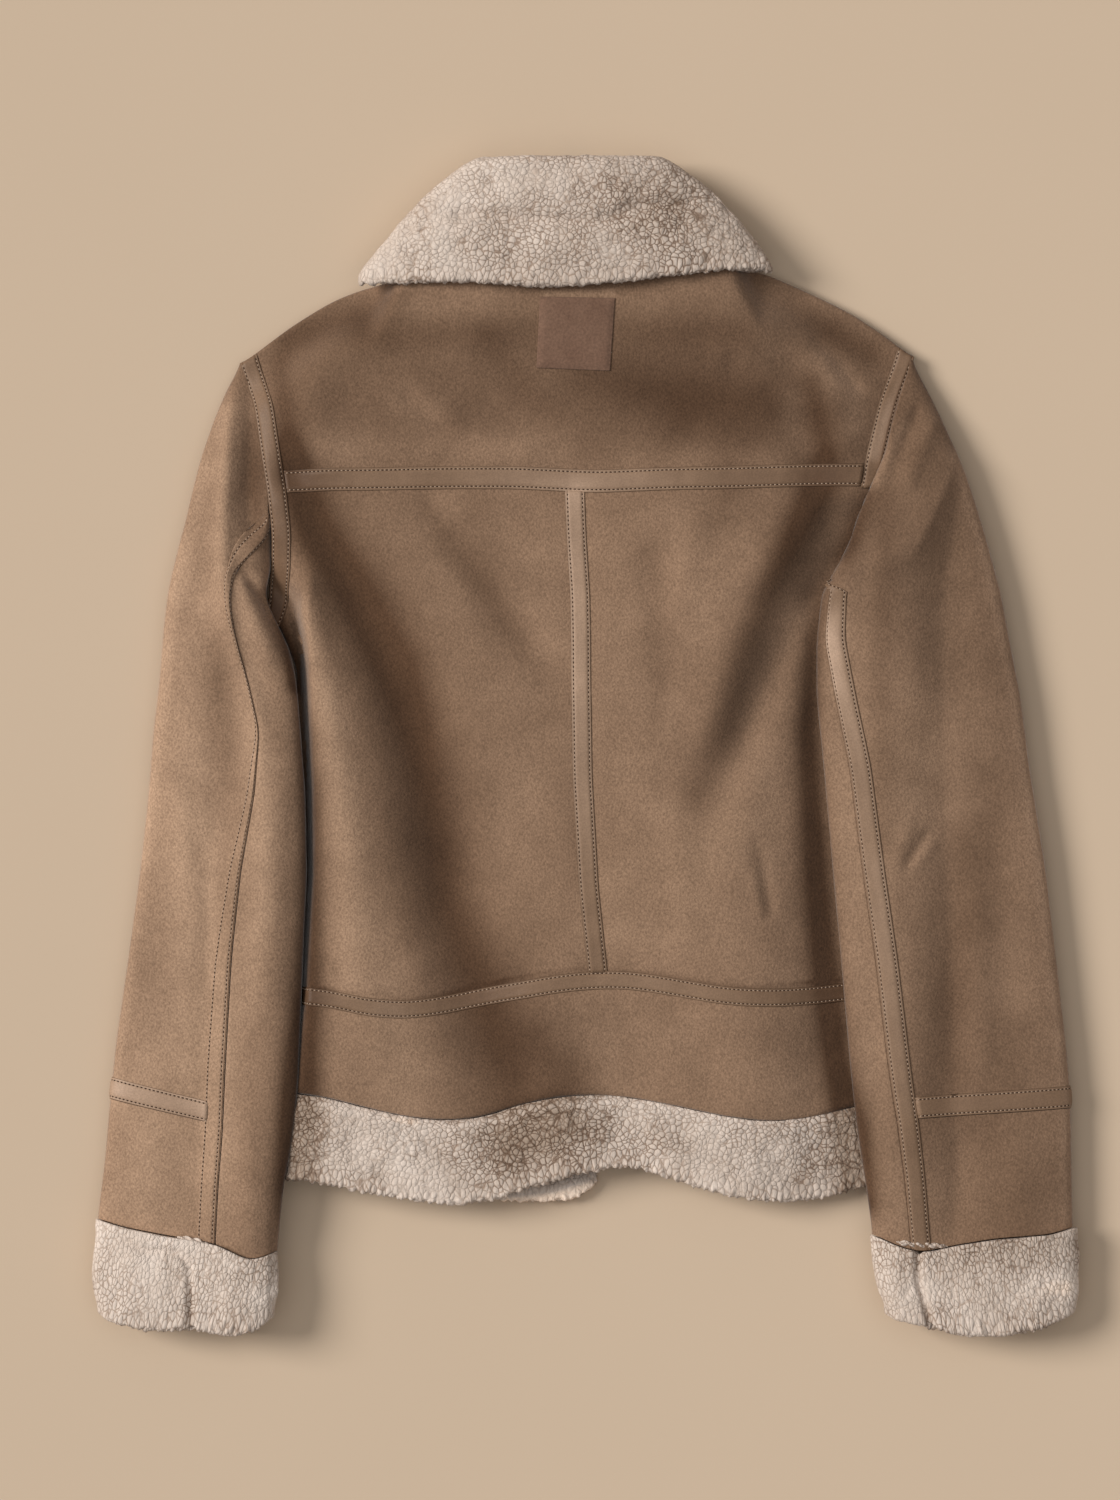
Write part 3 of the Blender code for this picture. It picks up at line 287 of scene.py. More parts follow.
# Sleeves. Rows: Y, outer edge, middle, back seam, inner edge. Crest: Y, height. Cross: the cross tape's
# top and foot at the outer edge, and its slope. Cuff edge: X, Y of the cloth's end. Cuff: Y, outer edge,
# inner edge. Creases are runs, like the back's folds.
SLEEVES = {
    "l": {
        "side": -1, "armpit": 104, "joins": 80, "under_top": 149.5, "top": 247,
        "crest": [(75, 36), (106, 34.5), (121, 33.5), (137, 31.5), (150, 30), (164, 28.5), (187, 25),
                  (212, 19.2), (220, 16.3), (228, 13), (235, 11.1), (247, 9.8)],
        "rows": [
            (247, -220.8, -220, -220, -220), (241, -224, -219, -219, -219),
            (228, -231, -214.5, -214.5, -214.5), (212, -237.5, -210.3, -210.3, -210.3),
            (187, -246, -206.7, -206.7, -206.7), (164, -252, -203.2, -203.2, -203.2),
            (146, -256, -202.5, -201.4, -201.2), (137, -258.5, -207, -201.4, -200.8),
            (130, -260.5, -212, -206, -200.8), (121, -262.5, -218, -216.5, -201.2),
            (112, -265, -223, -224, -202), (97, -268, -229, -226.6, -205.5), (80, -270, -232, -225, -197.5),
            (62, -271.5, -231.5, -221, -188.8), (43, -273, -230, -215.5, -184.8),
            (10, -277, -231, -208, -182), (-30, -280, -232, -211, -179), (-80, -285.5, -235, -220, -178),
            (-135, -293, -238, -226, -180.5), (-190, -301, -243, -230, -183.6),
            (-211, -303, -245, -231, -186), (-225, -304.5, -246, -231.5, -187.5),
            (-312, -312.5, -254, -236.5, -197),
        ],
        "cross": (-211, -225, 28.5),
        "cuff_edge": [(-311, -301), (-300, -305.5), (-262, -312.5), (-246, -314.5), (-232, -318),
                      (-216, -327.5), (-206, -326), (-197, -320)],
        "cuff": [(-318, -314.5, -196), (-335, -316.8, -194.5), (-350, -316.8, -194.6), (-362, -313, -198)],
        "creases": [
            [(-223, 238, 5, 0.8), (-229, 205, 6, 3.6), (-232, 150, 6.5, 5), (-231, 105, 6.5, 5.2),
             (-227, 75, 6, 4), (-220, 50, 6, 2.6), (-210, 20, 7, 1.4)],
            [(-214, 226, 5, -1.2), (-214, 190, 6, -4), (-215, 160, 7, -5.6), (-213, 138, 6, -4.5)],
            [(-244, 200, 12, -1.4), (-250, 90, 14, -1.8)],
            [(-218, 112, 2.6, -1.5), (-212.5, 104, 3.2, -4), (-207, 96, 3.6, -5), (-199, 80, 4, -3.5),
             (-191, 64, 4.5, -1.5)],
            [(-219, 104, 5, 1.6), (-212, 84, 6, 2.6), (-203, 58, 7, 2)],
            [(-214, 40, 5, 1), (-206, 10, 6, 1.6), (-207, -20, 6, 1)],
            [(-226, 44, 7, -2.2), (-221, 10, 8, -2.4), (-232, -60, 10, -1.4)],
            [(-262, -10, 10, 1.6), (-247, -110, 10, 1.6)],
            [(-247, -60, 7, -1.2), (-240, -140, 7, -1.2)],
            [(-204, -40, 12, 1.8), (-203, -150, 12, 1.8)],
            [(-277, -110, 12, -1), (-268, -180, 12, -1)],
            [(-258, -250, 12, -1), (-263, -295, 12, -1.2)],
            [(-215, -220, 9, 1.2), (-214, -300, 9, 1.6)],
        ],
    },
    "r": {
        "side": 1, "armpit": 190, "joins": 112, "under_top": 150, "top": 250,
        "crest": [(100, 39), (120, 38.5), (138, 37), (150, 35), (169, 31.5), (188, 27.5), (213, 21.5),
                  (231, 17), (250, 10.5)],
        "rows": [
            (250, 209.5, 208.6, 208.6, 208.6), (241, 213, 207.2, 207.2, 207.2), (231, 218.5, 203, 203, 203),
            (213, 227.5, 197.8, 197.8, 197.8), (200, 233, 194.2, 194.2, 194.2),
            (188, 238.7, 192.5, 192, 191.5), (169, 246, 196.5, 183.6, 182.6),
            (150, 252, 200.5, 175.5, 174.3), (130, 258, 205, 170.5, 168), (114, 262.2, 206.5, 163, 159.5),
            (100, 266, 207, 155.5, 151), (68, 272, 208, 152.5, 147.5), (32, 279, 211, 159, 147.5),
            (-12, 284.5, 216, 168, 152), (-78, 295, 224, 176.5, 157.8), (-133, 301.5, 230, 184.5, 162.9),
            (-190, 308, 237, 192, 168.5), (-216.6, 310.4, 240, 196, 171.3), (-231, 311, 241, 198.5, 172.8),
            (-312, 312.3, 249, 208, 183.5),
        ],
        "cross": (-216.6, -231, 9),
        "cuff_edge": [(184, -310), (192, -315), (206, -320.5), (217, -322), (232, -318.5), (262, -313.5),
                      (300, -311), (313, -306)],
        "cuff": [(-318, 316, 181), (-335, 317, 183), (-350, 317.2, 186), (-362, 314.5, 190.5)],
        "creases": [
            [(212, 214, 4.5, -2.4), (205, 196, 5, -2.6), (196, 174, 5, -1.6)],
            [(222, 206, 6, 1.8), (206, 170, 6, 1.8)],
            [(232, 130, 14, -1.4), (240, 40, 16, -1.6)],
            [(205, 90, 14, 1.6), (212, 20, 14, 1.6)],
            [(205, -76, 3, -1.6), (212, -64, 3.2, -2), (220, -53, 3, -1.4)],
            [(199, -70, 4, 1), (206, -52, 4, 1)],
            [(212, -74, 4, 0.9), (221, -62, 4, 0.9)],
            [(226, -40, 12, -1.4), (236, -120, 12, -1.6), (230, -220, 12, -1.2)],
            [(262, -60, 14, -1.6), (268, -160, 14, -1.4)],
            [(250, -100, 10, 1.2), (254, -190, 10, 1.4)],
            [(182, -100, 8, -1), (188, -220, 8, -1)],
            [(240, -250, 9, -1.2), (236, -296, 9, -1.2)],
            [(275, -245, 12, 1), (280, -300, 12, 1.2)],
        ],
    },
}

# Collar: Y, left end, right end, full height
COLLAR = [
    (292, -149, 124, 44), (304, -147, 123, 44), (320, -133, 113, 44), (340, -116, 97, 43.5),
    (360, -97, 78, 43), (377, -71, 52, 42),
]
# Lower edge of its fall: X, Y
COLLAR_FALL_EDGE = [(-150, 294.5), (-128, 295), (-74, 296), (-30, 291.5), (15, 294.5), (60, 300),
                    (100, 304), (109, 305.5), (117, 304.5), (126, 301.5)]
COLLAR_CREASES = [
    [(-80, 340, 5, -2.4), (-40, 336, 5, -3.4), (6, 334, 5, -3.2), (34, 344, 5, -3.2), (70, 347, 6, -2.6),
     (98, 347, 6, -1.6)],
    [(-60, 364, 6, -1.6), (-10, 370, 6, -2)],
    [(-118, 324, 8, 1.6), (-70, 330, 8, 1.6)],
    [(-20, 318, 12, 2), (60, 314, 12, 2)],
]

# Corners of the patch, from the low left, and the lower edge of the left front's trim: X, Y
PATCH_CORNERS = [(-31.4, 242.2), (15.7, 240.3), (18.9, 286.7), (-29.1, 287.7)]
FRONT_TRIM_EDGE = [(-202, -268), (-180, -270), (-130, -280), (-85, -287), (-52, -291.5), (-25, -292),
                   (-5, -290), (4, -284.5), (7.1, -276)]


# ------------------------------------------------------------------ reading the tables
def ease(share):
    share = np.clip(share, 0.0, 1.0)
    return share * share * (3.0 - 2.0 * share)


def mix(low, high, share):
    return low + (high - low) * share


def curve(rows, column=1, soft=7.0):
    """A smooth function through a table's column: straight runs, softened over soft mm."""
    ordered = sorted(rows)
    at = np.array([row[0] for row in ordered])
    value = np.array([row[column] for row in ordered])
    dense = np.arange(at[0] - 60.0, at[-1] + 60.0, 1.0)
    plain = np.interp(dense, at, value)
    reach = np.arange(-int(3 * soft), int(3 * soft) + 1)
    weight = np.exp(-0.5 * (reach / soft) ** 2)
    weight /= weight.sum()
    padded = np.pad(plain, len(reach) // 2, mode="edge")
    softened = np.convolve(padded, weight, mode="valid")
    return lambda x: np.interp(x, dense, softened)


BODY_LEFT, BODY_CENTRE, BODY_RIGHT = (curve(BODY, column, 4.0) for column in (1, 2, 3))
LOW_LEFT, LOW_RIGHT = (curve(LOW_EDGE, column, 6.0) for column in (1, 2))
SHOULDER_LINE = curve(SHOULDER, 1, 6.0)
SEAMS = {column: curve(ACROSS, column, 9.0) for column in (YOKE, WAIST, HEM, TRIM)}
COLLAR_LEFT, COLLAR_RIGHT, COLLAR_HEIGHT = (curve(COLLAR, column, 5.0) for column in (1, 2, 3))
# How the cuffs' mouths waver along their width, for each side: X, offset
CUFF_MOUTH = {
    -1: [(-316, -3), (-290, -2), (-268, 0), (-253, 3), (-244, -1), (-228, -6), (-210, -6), (-196, -4)],
    1: [(184, -3), (200, -3), (217, 1), (228, -2), (256, -4), (290, -2), (316, -2)],
}
FALL_EDGE = curve(COLLAR_FALL_EDGE, 1, 8.0)
for arm in SLEEVES.values():
    arm["outer"], arm["mid"], arm["seam"], arm["inner"] = (
        curve(arm["rows"], column, 5.0) for column in (1, 2, 3, 4))
    arm["edge"] = curve(arm["cuff_edge"], 1, 6.0)
    arm["mouth"] = curve(CUFF_MOUTH[arm["side"]], 1, 6.0)
    arm["height"] = curve(arm["crest"], 1, 6.0)
    arm["cuff_outer"], arm["cuff_inner"] = (curve(arm["cuff"], column, 4.0) for column in (1, 2))


def folds(table, x, y):
    """Sum of the table's runs, each strongest along its line and faded out beside and past it."""
    total = np.zeros(np.broadcast(x, y).shape)
    for run in table:
        strongest = np.zeros(total.shape)
        for (x0, y0, wide0, high0), (x1, y1, wide1, high1) in zip(run, run[1:]):
            run_x, run_y = x1 - x0, y1 - y0
            along = ((x - x0) * run_x + (y - y0) * run_y) / (run_x ** 2 + run_y ** 2)
            along = np.clip(along, 0.0, 1.0)
            off = np.hypot(x - x0 - along * run_x, y - y0 - along * run_y)
            value = mix(high0, high1, along) * np.exp(-((off / mix(wide0, wide1, along)) ** 2))
            strongest = np.where(np.abs(value) > np.abs(strongest), value, strongest)
        total += strongest
    return total


def neck_window(x):
    """One under the collar, fading to nothing at both of its ends."""
    return ease((x - NECK_LEFT) / NECK_FADE) * ease((NECK_RIGHT - x) / NECK_FADE)


def channel(distance, width, depth):
    """The cloth drawn down beside a seam."""
    return -depth * np.exp(-((distance / width) ** 2))


SEAM_DIPS = {YOKE: (11.0, 1.2), WAIST: (10.0, 1.4)}     # width and depth
CENTRE_DIP = (10.0, 1.0)
CENTRE_TOP, CENTRE_FOOT = 172.0, -150.0                 # the centre seam's ends
CENTRE_FADE = 8.0
HEM_SAG = 0.28                  # the share of its swell that the back loses down to the hem
HEM_SAG_FROM, HEM_SAG_OVER = -150.0, 140.0
NECK_CARRY = 60.0               # how much farther up the swell goes under the collar
CREASE_GAIN = 1.1


def back_height(x, y):
    """Height of the back's upper face, as in the CAD, with its finer creases."""
    left_rise = mix(LEFT_RISE_LOW, LEFT_RISE, ease((y - 84.0) / 50.0))
    side = ease((x - LOW_LEFT(y)) / left_rise) * ease((LOW_RIGHT(y) - x) / RIGHT_RISE)
    top = ease((SHOULDER_LINE(x) + NECK_CARRY * neck_window(x) - y) / SHOULDER_RISE)
    hang = 1.0 - HEM_SAG * ease((HEM_SAG_FROM - y) / HEM_SAG_OVER)
    swell = side * top * hang
    height = EDGE_TOP + swell * (BODY_TOP - EDGE_TOP + folds(FOLDS, x, y))
    height += CREASE_GAIN * folds(BACK_CREASES, x, y) * ease(swell / 0.25)
    for seam, (width, depth) in SEAM_DIPS.items():
        height += channel(y - SEAMS[seam](x), width, depth)
    centre = channel(x - BODY_CENTRE(y), *CENTRE_DIP) * ease((CENTRE_TOP - y) / CENTRE_FADE)
    return height + centre * ease((y - CENTRE_FOOT) / CENTRE_FADE)


BED_FALL = 62.0                 # how far beside the body a sleeve comes down to the surface
BED_PAST_HEM = 0.55             # the share of its height that the bed keeps below the hem
SECTION_POWER = 0.85            # below one, a sleeve's section is fuller than an ellipse
RIGHT_TUCK = 0.2                # turns that the right seam's top is tucked underneath
RIGHT_TUCK_FROM, RIGHT_TUCK_OVER = 99.0, 12.0


def sleeve_bed(arm, x, y):
    """The height that a sleeve's underside lies on: the surface, or the body's side."""
    side = arm["side"]
    edge = BODY_LEFT(y) if side < 0 else BODY_RIGHT(y)
    inside = (x - edge) * -side
    clear = GAP + TAPE + 2.0
    level = np.minimum(y, arm["armpit"] - 20.0)
    on_body = back_height(x + side * BED_BACK, level) + clear
    beside = (back_height(edge, level) + clear) * ease(1.0 + inside / BED_FALL)
    rest = np.where(inside >= 0.0, on_body, beside)
    free = ease((arm["armpit"] + 16.0 - y) / 38.0)
    past_hem = ease((y + 330.0) / 60.0)
    return np.maximum(SLEEVE_LIFT, rest * free * mix(BED_PAST_HEM, 1.0, past_hem))


def ring(arm, y, turn, inset=0.0):
    """Points of a sleeve's section: turn 0 is its inner edge, 0.25 its top, 0.5 its outer edge."""
    outer, mid, inner = arm["outer"](y), arm["mid"](y), arm["inner"](y)
    across = np.cos(TAU * turn)
    up = np.sin(TAU * turn)
    half = np.where(across > 0.0, np.abs(inner - mid), np.abs(mid - outer))
    x = mid - arm["side"] * np.maximum(half - inset, half * 0.5) * across
    rest = sleeve_bed(arm, mid - arm["side"] * half * across, y)
    attached = ease((y - arm["joins"]) / 26.0)
    room = np.clip((arm["height"](y) - rest) / 2.0, 3.0, SLEEVE_DEPTH)
    depth = mix(SLEEVE_DEPTH, room, attached)
    shape = np.sign(up) * np.abs(up) ** SECTION_POWER
    z = rest + depth + np.maximum(depth - inset, 0.1) * shape
    z += folds(arm["creases"], x, y) * ease(up / 0.5)
    return x, z


def seam_turn(arm, y):
    """The turn of the sleeve's back seam. The right one is tucked underneath at its top."""
    turn = turn_at(arm, y, arm["seam"](y))
    if arm["side"] > 0:
        turn = turn - RIGHT_TUCK * ease((y - RIGHT_TUCK_FROM) / RIGHT_TUCK_OVER)
    return turn


def turn_at(arm, y, x):
    """The turn at which a place across the sleeve lies on its top."""
    inside = (arm["mid"](y) - x) * arm["side"]
    half = np.where(inside > 0.0, np.abs(arm["inner"](y) - arm["mid"](y)),
                    np.abs(arm["mid"](y) - arm["outer"](y)))
    return np.arccos(np.clip(inside / np.maximum(half, 3.0), -0.96, 0.96)) / TAU


# ------------------------------------------------------------------ grids and shells
EDGE_STEPS = (0.0, 0.5, 1.2, 2.2, 3.6)


def spread(length, step, edge_steps=EDGE_STEPS):
    """Shares and offsets of lines across a piece: close together at its two edges."""
    inner = max(2, int(round((length - 2.0 * edge_steps[-1]) / step)))
    shares = [0.0] * len(edge_steps)
    offsets = list(edge_steps)
    for count in range(1, inner):
        share = count / inner
        shares.append(share)
        offsets.append(edge_steps[-1] * (1.0 - 2.0 * share))
    shares += [1.0] * len(edge_steps)
    offsets += [-edge for edge in reversed(edge_steps)]
    return np.array(shares), np.array(offsets)


def flat_grid(low, high, left, right, size, step, edge_steps=EDGE_STEPS):
    """Places of a panel between four edge lines, rows from low to high, and how far each is inside."""
    row_share, row_offset = spread(size[1], step, edge_steps)
    column_share, column_offset = spread(size[0], step, edge_steps)
    x = np.zeros((len(row_share), len(column_share)))
    for _ in range(9):
        y = mix(low(x), high(x), row_share[:, None]) + row_offset[:, None]
        x = mix(left(y), right(y), column_share[None, :]) + column_offset[None, :]
    inside = {"low": y - low(x), "high": high(x) - y, "left": x - left(y), "right": right(y) - x}
    return x, y, inside


def roll(distance, radius, depth):
    """How far a rounded edge falls, at a distance in from it."""
    short = np.clip(1.0 - distance / radius, 0.0, 1.0)
    return depth * (1.0 - np.sqrt(1.0 - short ** 2))


def points(x, y, z):
    return np.stack(np.broadcast_arrays(x, y, z), axis=-1)


def lengths(steps):
    """The distance along a line to each of its points, from the steps between them."""
    return np.concatenate([[0.0], np.cumsum(steps)])


def unit(vectors):
    return vectors / np.linalg.norm(vectors, axis=1)[:, None]


def zipped(first, second):
    """Triangles between two runs of vertices that start and end together."""
    faces = []
    a, b = 0, 0
    while a < len(first) - 1 or b < len(second) - 1:
        next_a = (a + 1) / (len(first) - 1)
        next_b = (b + 1) / (len(second) - 1)
        if b == len(second) - 1 or (a < len(first) - 1 and next_a <= next_b):
            faces.append((first[a], first[a + 1], second[b]))
            a += 1
        else:
            faces.append((first[a], second[b + 1], second[b]))
            b += 1
    return faces


def grid_faces(index, ring_columns=False):
    """Quads of a grid of vertex numbers."""
    if ring_columns:
        index = np.concatenate([index, index[:, :1]], axis=1)
    quads = np.stack([index[:-1, :-1], index[:-1, 1:], index[1:, 1:], index[1:, :-1]], axis=-1)
    return quads.reshape(-1, 4)


def thinned(grid, step, ring_columns=False):
    """Every few rows and columns of a grid, with its last ones."""
    rows = sorted(set(range(0, grid.shape[0], step)) | {grid.shape[0] - 1})
    columns = set(range(0, grid.shape[1], step))
    if not ring_columns:
        columns |= {grid.shape[1] - 1}
    return grid[rows][:, sorted(columns)]


def add_object(name, data):
    made = bpy.data.objects.new(name, data)
    bpy.context.scene.collection.objects.link(made)
    return made


def make_mesh(name, verts, faces):
    """A mesh object from points in millimetres in the garment's frame."""
    mesh = bpy.data.meshes.new(name)
    placed = (np.asarray(verts) + np.array(SHIFT)) * MM
    mesh.from_pydata(placed.tolist(), [], [tuple(int(corner) for corner in face) for face in faces])
    for polygon in mesh.polygons:
        polygon.use_smooth = True
    return add_object(name, mesh)


def numbered(grid, start=0):
    """A number for each point of a grid."""
    return np.arange(start, start + grid[..., 0].size).reshape(grid.shape[:2])


def shell(name, outside, inside, ring_columns=False):
    """A closed wall from its outer grid and its inner one, which may have fewer points."""
    outer = numbered(outside)
    inner = numbered(inside, outer.size)
    faces = grid_faces(outer, ring_columns).tolist()
    faces += grid_faces(inner, ring_columns)[:, ::-1].tolist()

    def closed(line):
        return list(line) + ([line[0]] if ring_columns else [])
    faces += zipped(closed(outer[0])[::-1], closed(inner[0])[::-1])
    faces += zipped(closed(outer[-1]), closed(inner[-1]))
    if not ring_columns:
        faces += zipped(list(outer[:, 0]), list(inner[:, 0]))
        faces += zipped(list(outer[:, -1])[::-1], list(inner[:, -1])[::-1])
    return make_mesh(name, np.concatenate([outside.reshape(-1, 3), inside.reshape(-1, 3)]), faces)


def read_points(piece, what):
    """The places ("co") or directions ("normal") of a piece's vertices."""
    values = np.zeros(len(piece.data.vertices) * 3)
    piece.data.vertices.foreach_get(what, values)
    return values.reshape(-1, 3)


def store(piece, name, values):
    """A value or a vector for each vertex, for the finishes to read."""
    kind, field = ("FLOAT", "value") if values.ndim == 1 else ("FLOAT_VECTOR", "vector")
    layer = piece.data.attributes.new(name, kind, "POINT")
    layer.data.foreach_set(field, values.ravel())


# ------------------------------------------------------------------ what the pieces are made of
def level_line(value):
    return lambda y: np.full(np.shape(y), float(value))


def seam_line(column, shift):
    return lambda x: SEAMS[column](x) + shift


def side_line(side, shift):
    edge = BODY_LEFT if side < 0 else BODY_RIGHT
    return lambda y: edge(y) + shift


def centre_line(shift):
    return lambda y: BODY_CENTRE(y) + shift


LEFT_SIDE = side_line(-1, 0.0)
RIGHT_SIDE = side_line(1, 0.0)
PANELS = {}


def add_panel(name, made, finish):
    PANELS[name] = made
    made.data.materials.append(FINISHES[finish][0])
    if finish in ("thread", "hole"):
        return
    # Painted shade and light, with some nap tone, at each point; on a tape, painted satin highlights and
    # painted shade as well
    place = read_points(made, "co") / MM - np.array(SHIFT)
    nap = folds(PAINTED_LIGHT_SHADE_AND_NAP, place[:, 0], place[:, 1])
    if finish == "tape":
        nap = 0.6 * nap + folds(PAINTED_HIGHLIGHTS_AND_SHADE, place[:, 0], place[:, 1])
    store(made, "nap", np.clip(0.5 + 0.5 * nap, 0.0, 1.0))


def suede_panel(name, low, high, left, right, size, rolled=()):
    """A suede panel of the back, its rolled edges rounded down to half its thickness."""
    x, y, inside = flat_grid(low, high, left, right, size, SUEDE_STEP)
    z = back_height(x, y)
    for edge in rolled:
        z = z - roll(inside[edge], EDGE_RADIUS, EDGE_FALL)
    under = thinned(points(x, y, back_height(x, y) - WALL), 4)
    add_panel(name, shell(name, points(x, y, z), under), "suede")


def build_back():
    half = GAP / 2.0
    suede_panel("back_yoke_suede", seam_line(YOKE, half), SHOULDER_LINE, LEFT_SIDE, RIGHT_SIDE,
                (400.0, 122.0), rolled=("high",))
    suede_panel("back_left_suede", seam_line(WAIST, half), seam_line(YOKE, -half), LEFT_SIDE,
                centre_line(-half), (185.0, 330.0), rolled=("left",))
    suede_panel("back_right_suede", seam_line(WAIST, half), seam_line(YOKE, -half), centre_line(half),
                RIGHT_SIDE, (185.0, 330.0), rolled=("right",))
    suede_panel("hem_band_suede", seam_line(HEM, half), seam_line(WAIST, -half), LEFT_SIDE,
                RIGHT_SIDE, (390.0, 68.0), rolled=("low", "left", "right"))


# ------------------------------------------------------------------ tapes over the seams
TAPE_SHOULDER = 3.2             # how far in from its edges a tape reaches its full height
STITCH_INSET = 1.5
STITCH_DIP = 0.42


def pillow(share):
    """How high a tape stands across its width: thin edges, a full middle, dips at its stitches."""
    inset = np.minimum(share, 1.0 - share) * TAPE_WIDTH
    body = TAPE_EDGE + (TAPE - TAPE_EDGE) * ease(inset / TAPE_SHOULDER)
    dip = STITCH_DIP * np.exp(-(((inset - STITCH_INSET) / 0.5) ** 2))
    return body - dip - 0.3 * (1.0 - ease(inset / 0.5))


TAPE_BED = 0.12                 # of a tape's underside above the suede
EDGE_REACH = 3.0                # how far in from a tape's edge its finish changes
STITCH_ROW = 4                  # the row of a tape's grid along which it is sewn
STITCH_PITCH = 2.75
STITCH_END = 0.6                # bare at each end of a row
STITCH_SIZE = (1.45, 0.8, 0.5)
HOLE_SIZE = (1.45, 1.2, 0.4)


def tape_shares():
    edge = [0.0, 0.02, 0.05, 0.09, 0.12, 0.15, 0.2, 0.28, 0.38]
    return np.array(edge + [0.5] + [1.0 - share for share in reversed(edge)])


PUCKER_GAPS = (5.0, 14.0)       # millimetres from one gather to the next
PUCKER_WIDTHS = (1.2, 2.6)
PUCKER_HEIGHTS = (-0.32, 0.22)


def puckers(run, share, seed, strength):
    """Small gathers that the stitches draw across a tape, uneven along it."""
    rng = np.random.default_rng(seed)
    low, high = float(np.min(run)), float(np.max(run))
    total = np.zeros(np.broadcast(run, share).shape)
    at = low
    while at < high:
        at += rng.uniform(*PUCKER_GAPS)
        width = rng.uniform(*PUCKER_WIDTHS)
        height = rng.uniform(*PUCKER_HEIGHTS)
        edge = rng.uniform(-1.0, 1.0)
        reach = np.exp(-((share - 0.5 - 0.4 * edge) / 0.42) ** 2)
        total += height * reach * np.exp(-(((run - at) / width) ** 2))
    return strength * total


def tape_shell(name, x, y, base, share, along, seed, strength):
    """A tape whose grid is given, rows or columns across it by share."""
    share = share + 0.0 * x
    lift = GAP + pillow(share) + puckers(along, share, seed, strength)
    sewn_tape(name, points(x, y, base + lift), points(x, y, base + TAPE_BED), share)


def sewn_tape(name, outside, inside, share, finish="tape"):
    """A tape's wall, its distance in from its edges for the finish, and its two rows of stitches."""
    tape = shell(name, outside, thinned(inside, 3))
    edge = np.zeros(len(tape.data.vertices))
    inset = np.broadcast_to(np.minimum(share, 1.0 - share), outside.shape[:2])
    edge[: inset.size] = np.clip(inset.ravel() * TAPE_WIDTH / EDGE_REACH, 0.0, 1.0)
    store(tape, "edge", edge)
    add_panel(name, tape, finish)
    grid = outside if share.shape[0] > 1 and share[0, 0] != share[-1, 0] else outside.transpose(1, 0, 2)
    stitches(name[:-5] + "_stitches", grid, "thread", 0.0)
    stitches(name[:-5] + "_holes", grid, "hole", 0.5)


def stitches(name, grid, kind, offset):
    """Short stitches, or dark marks of painted shade for the holes between them, along a tape with a row for
    each share across it.
    """
    verts, faces = [], []
    shape, quads = SEWN[kind]
    for row in (STITCH_ROW, len(grid) - 1 - STITCH_ROW):
        line = grid[row]
        across = grid[row + 1] - grid[row - 1]
        length = lengths(np.linalg.norm(np.diff(line, axis=0), axis=1))
        count = int((length[-1] - 2.0 * STITCH_END) / STITCH_PITCH - offset)
        at = (np.arange(count) + 0.5 + offset) * STITCH_PITCH + STITCH_END

        def read(values, places):
            return np.stack([np.interp(places, length, values[:, axis]) for axis in range(3)], axis=-1)
        centre = read(line, at)
        along = unit(read(line, at + 0.6) - read(line, at - 0.6))
        up = unit(np.cross(along, read(across, at)))
        up *= np.sign(up[:, 2].sum())
        beside = np.cross(up, along)
        for place, ahead, aside, above in zip(centre, along, beside, up):
            start = sum(len(part) for part in verts)
            verts.append(place + shape @ np.stack([ahead, aside, above]))
            faces += [[corner + start for corner in face] for face in quads]
    add_panel(name, make_mesh(name, np.concatenate(verts), faces), kind)


def model_stitch(size, lift, dip):
    """One stitch, its ends drawn down into their holes: points in millimetres, and faces."""
    rings = [(math.cos(bend), math.sin(bend) * math.sin(turn), math.sin(bend) * math.cos(turn))
             for bend in (0.25 * math.pi, 0.5 * math.pi, 0.75 * math.pi)
             for turn in np.arange(6) * TAU / 6.0]
    verts = np.array([(1.0, 0.0, 0.0)] + rings + [(-1.0, 0.0, 0.0)])
    index = np.arange(1, 19).reshape(3, 6)
    faces = grid_faces(index, True).tolist()
    faces += [[0, second, first] for first, second in zip(index[0], np.roll(index[0], -1))]
    faces += [[19, first, second] for first, second in zip(index[2], np.roll(index[2], -1))]
    verts *= np.array(size) / 2.0
    verts[:, 2] += lift - dip * (2.0 * verts[:, 0] / size[0]) ** 2
    return verts, faces


def cross_strap(name, column, ends, seed, strength):
    """A strap along a seam across the back."""
    columns = np.linspace(0.0, 1.0, int(400.0 / SUEDE_STEP) + 1)
    share = tape_shares()[:, None]
    low, high = -TAPE_BELOW[column], TAPE_ABOVE[column]
    x = np.zeros((len(share), len(columns)))
    for _ in range(8):
        y = SEAMS[column](x) + mix(low, high, share)
        x = mix(ends[0](y), ends[1](y), columns[None, :])
    tape_shell(name, x, y, back_height(x, y), share, x, seed, strength)


def build_straps():
    inset = TAPE_WIDTH - ARMHOLE_OVERLAP + GAP
    cross_strap("yoke_strap_tape", YOKE, (side_line(-1, inset), side_line(1, -inset)), 3, 1.2)
    cross_strap("waist_strap_tape", WAIST, (LEFT_SIDE, RIGHT_SIDE), 5, 1.0)

    share = tape_shares()[None, :]
    rows = np.linspace(0.0, 1.0, int(320.0 / SUEDE_STEP) + 1)[:, None]
    x = np.zeros((len(rows), share.shape[1]))
    for _ in range(8):
        low = SEAMS[WAIST](x) + TAPE_ABOVE[WAIST] - 0.6
        high = SEAMS[YOKE](x) - TAPE_BELOW[YOKE] + 0.6
        y = mix(low, high, rows)
        x = BODY_CENTRE(y) + (share - 0.5) * TAPE_WIDTH
    tape_shell("centre_strap_tape", x, y, back_height(x, y), share, y, 7, 0.8)


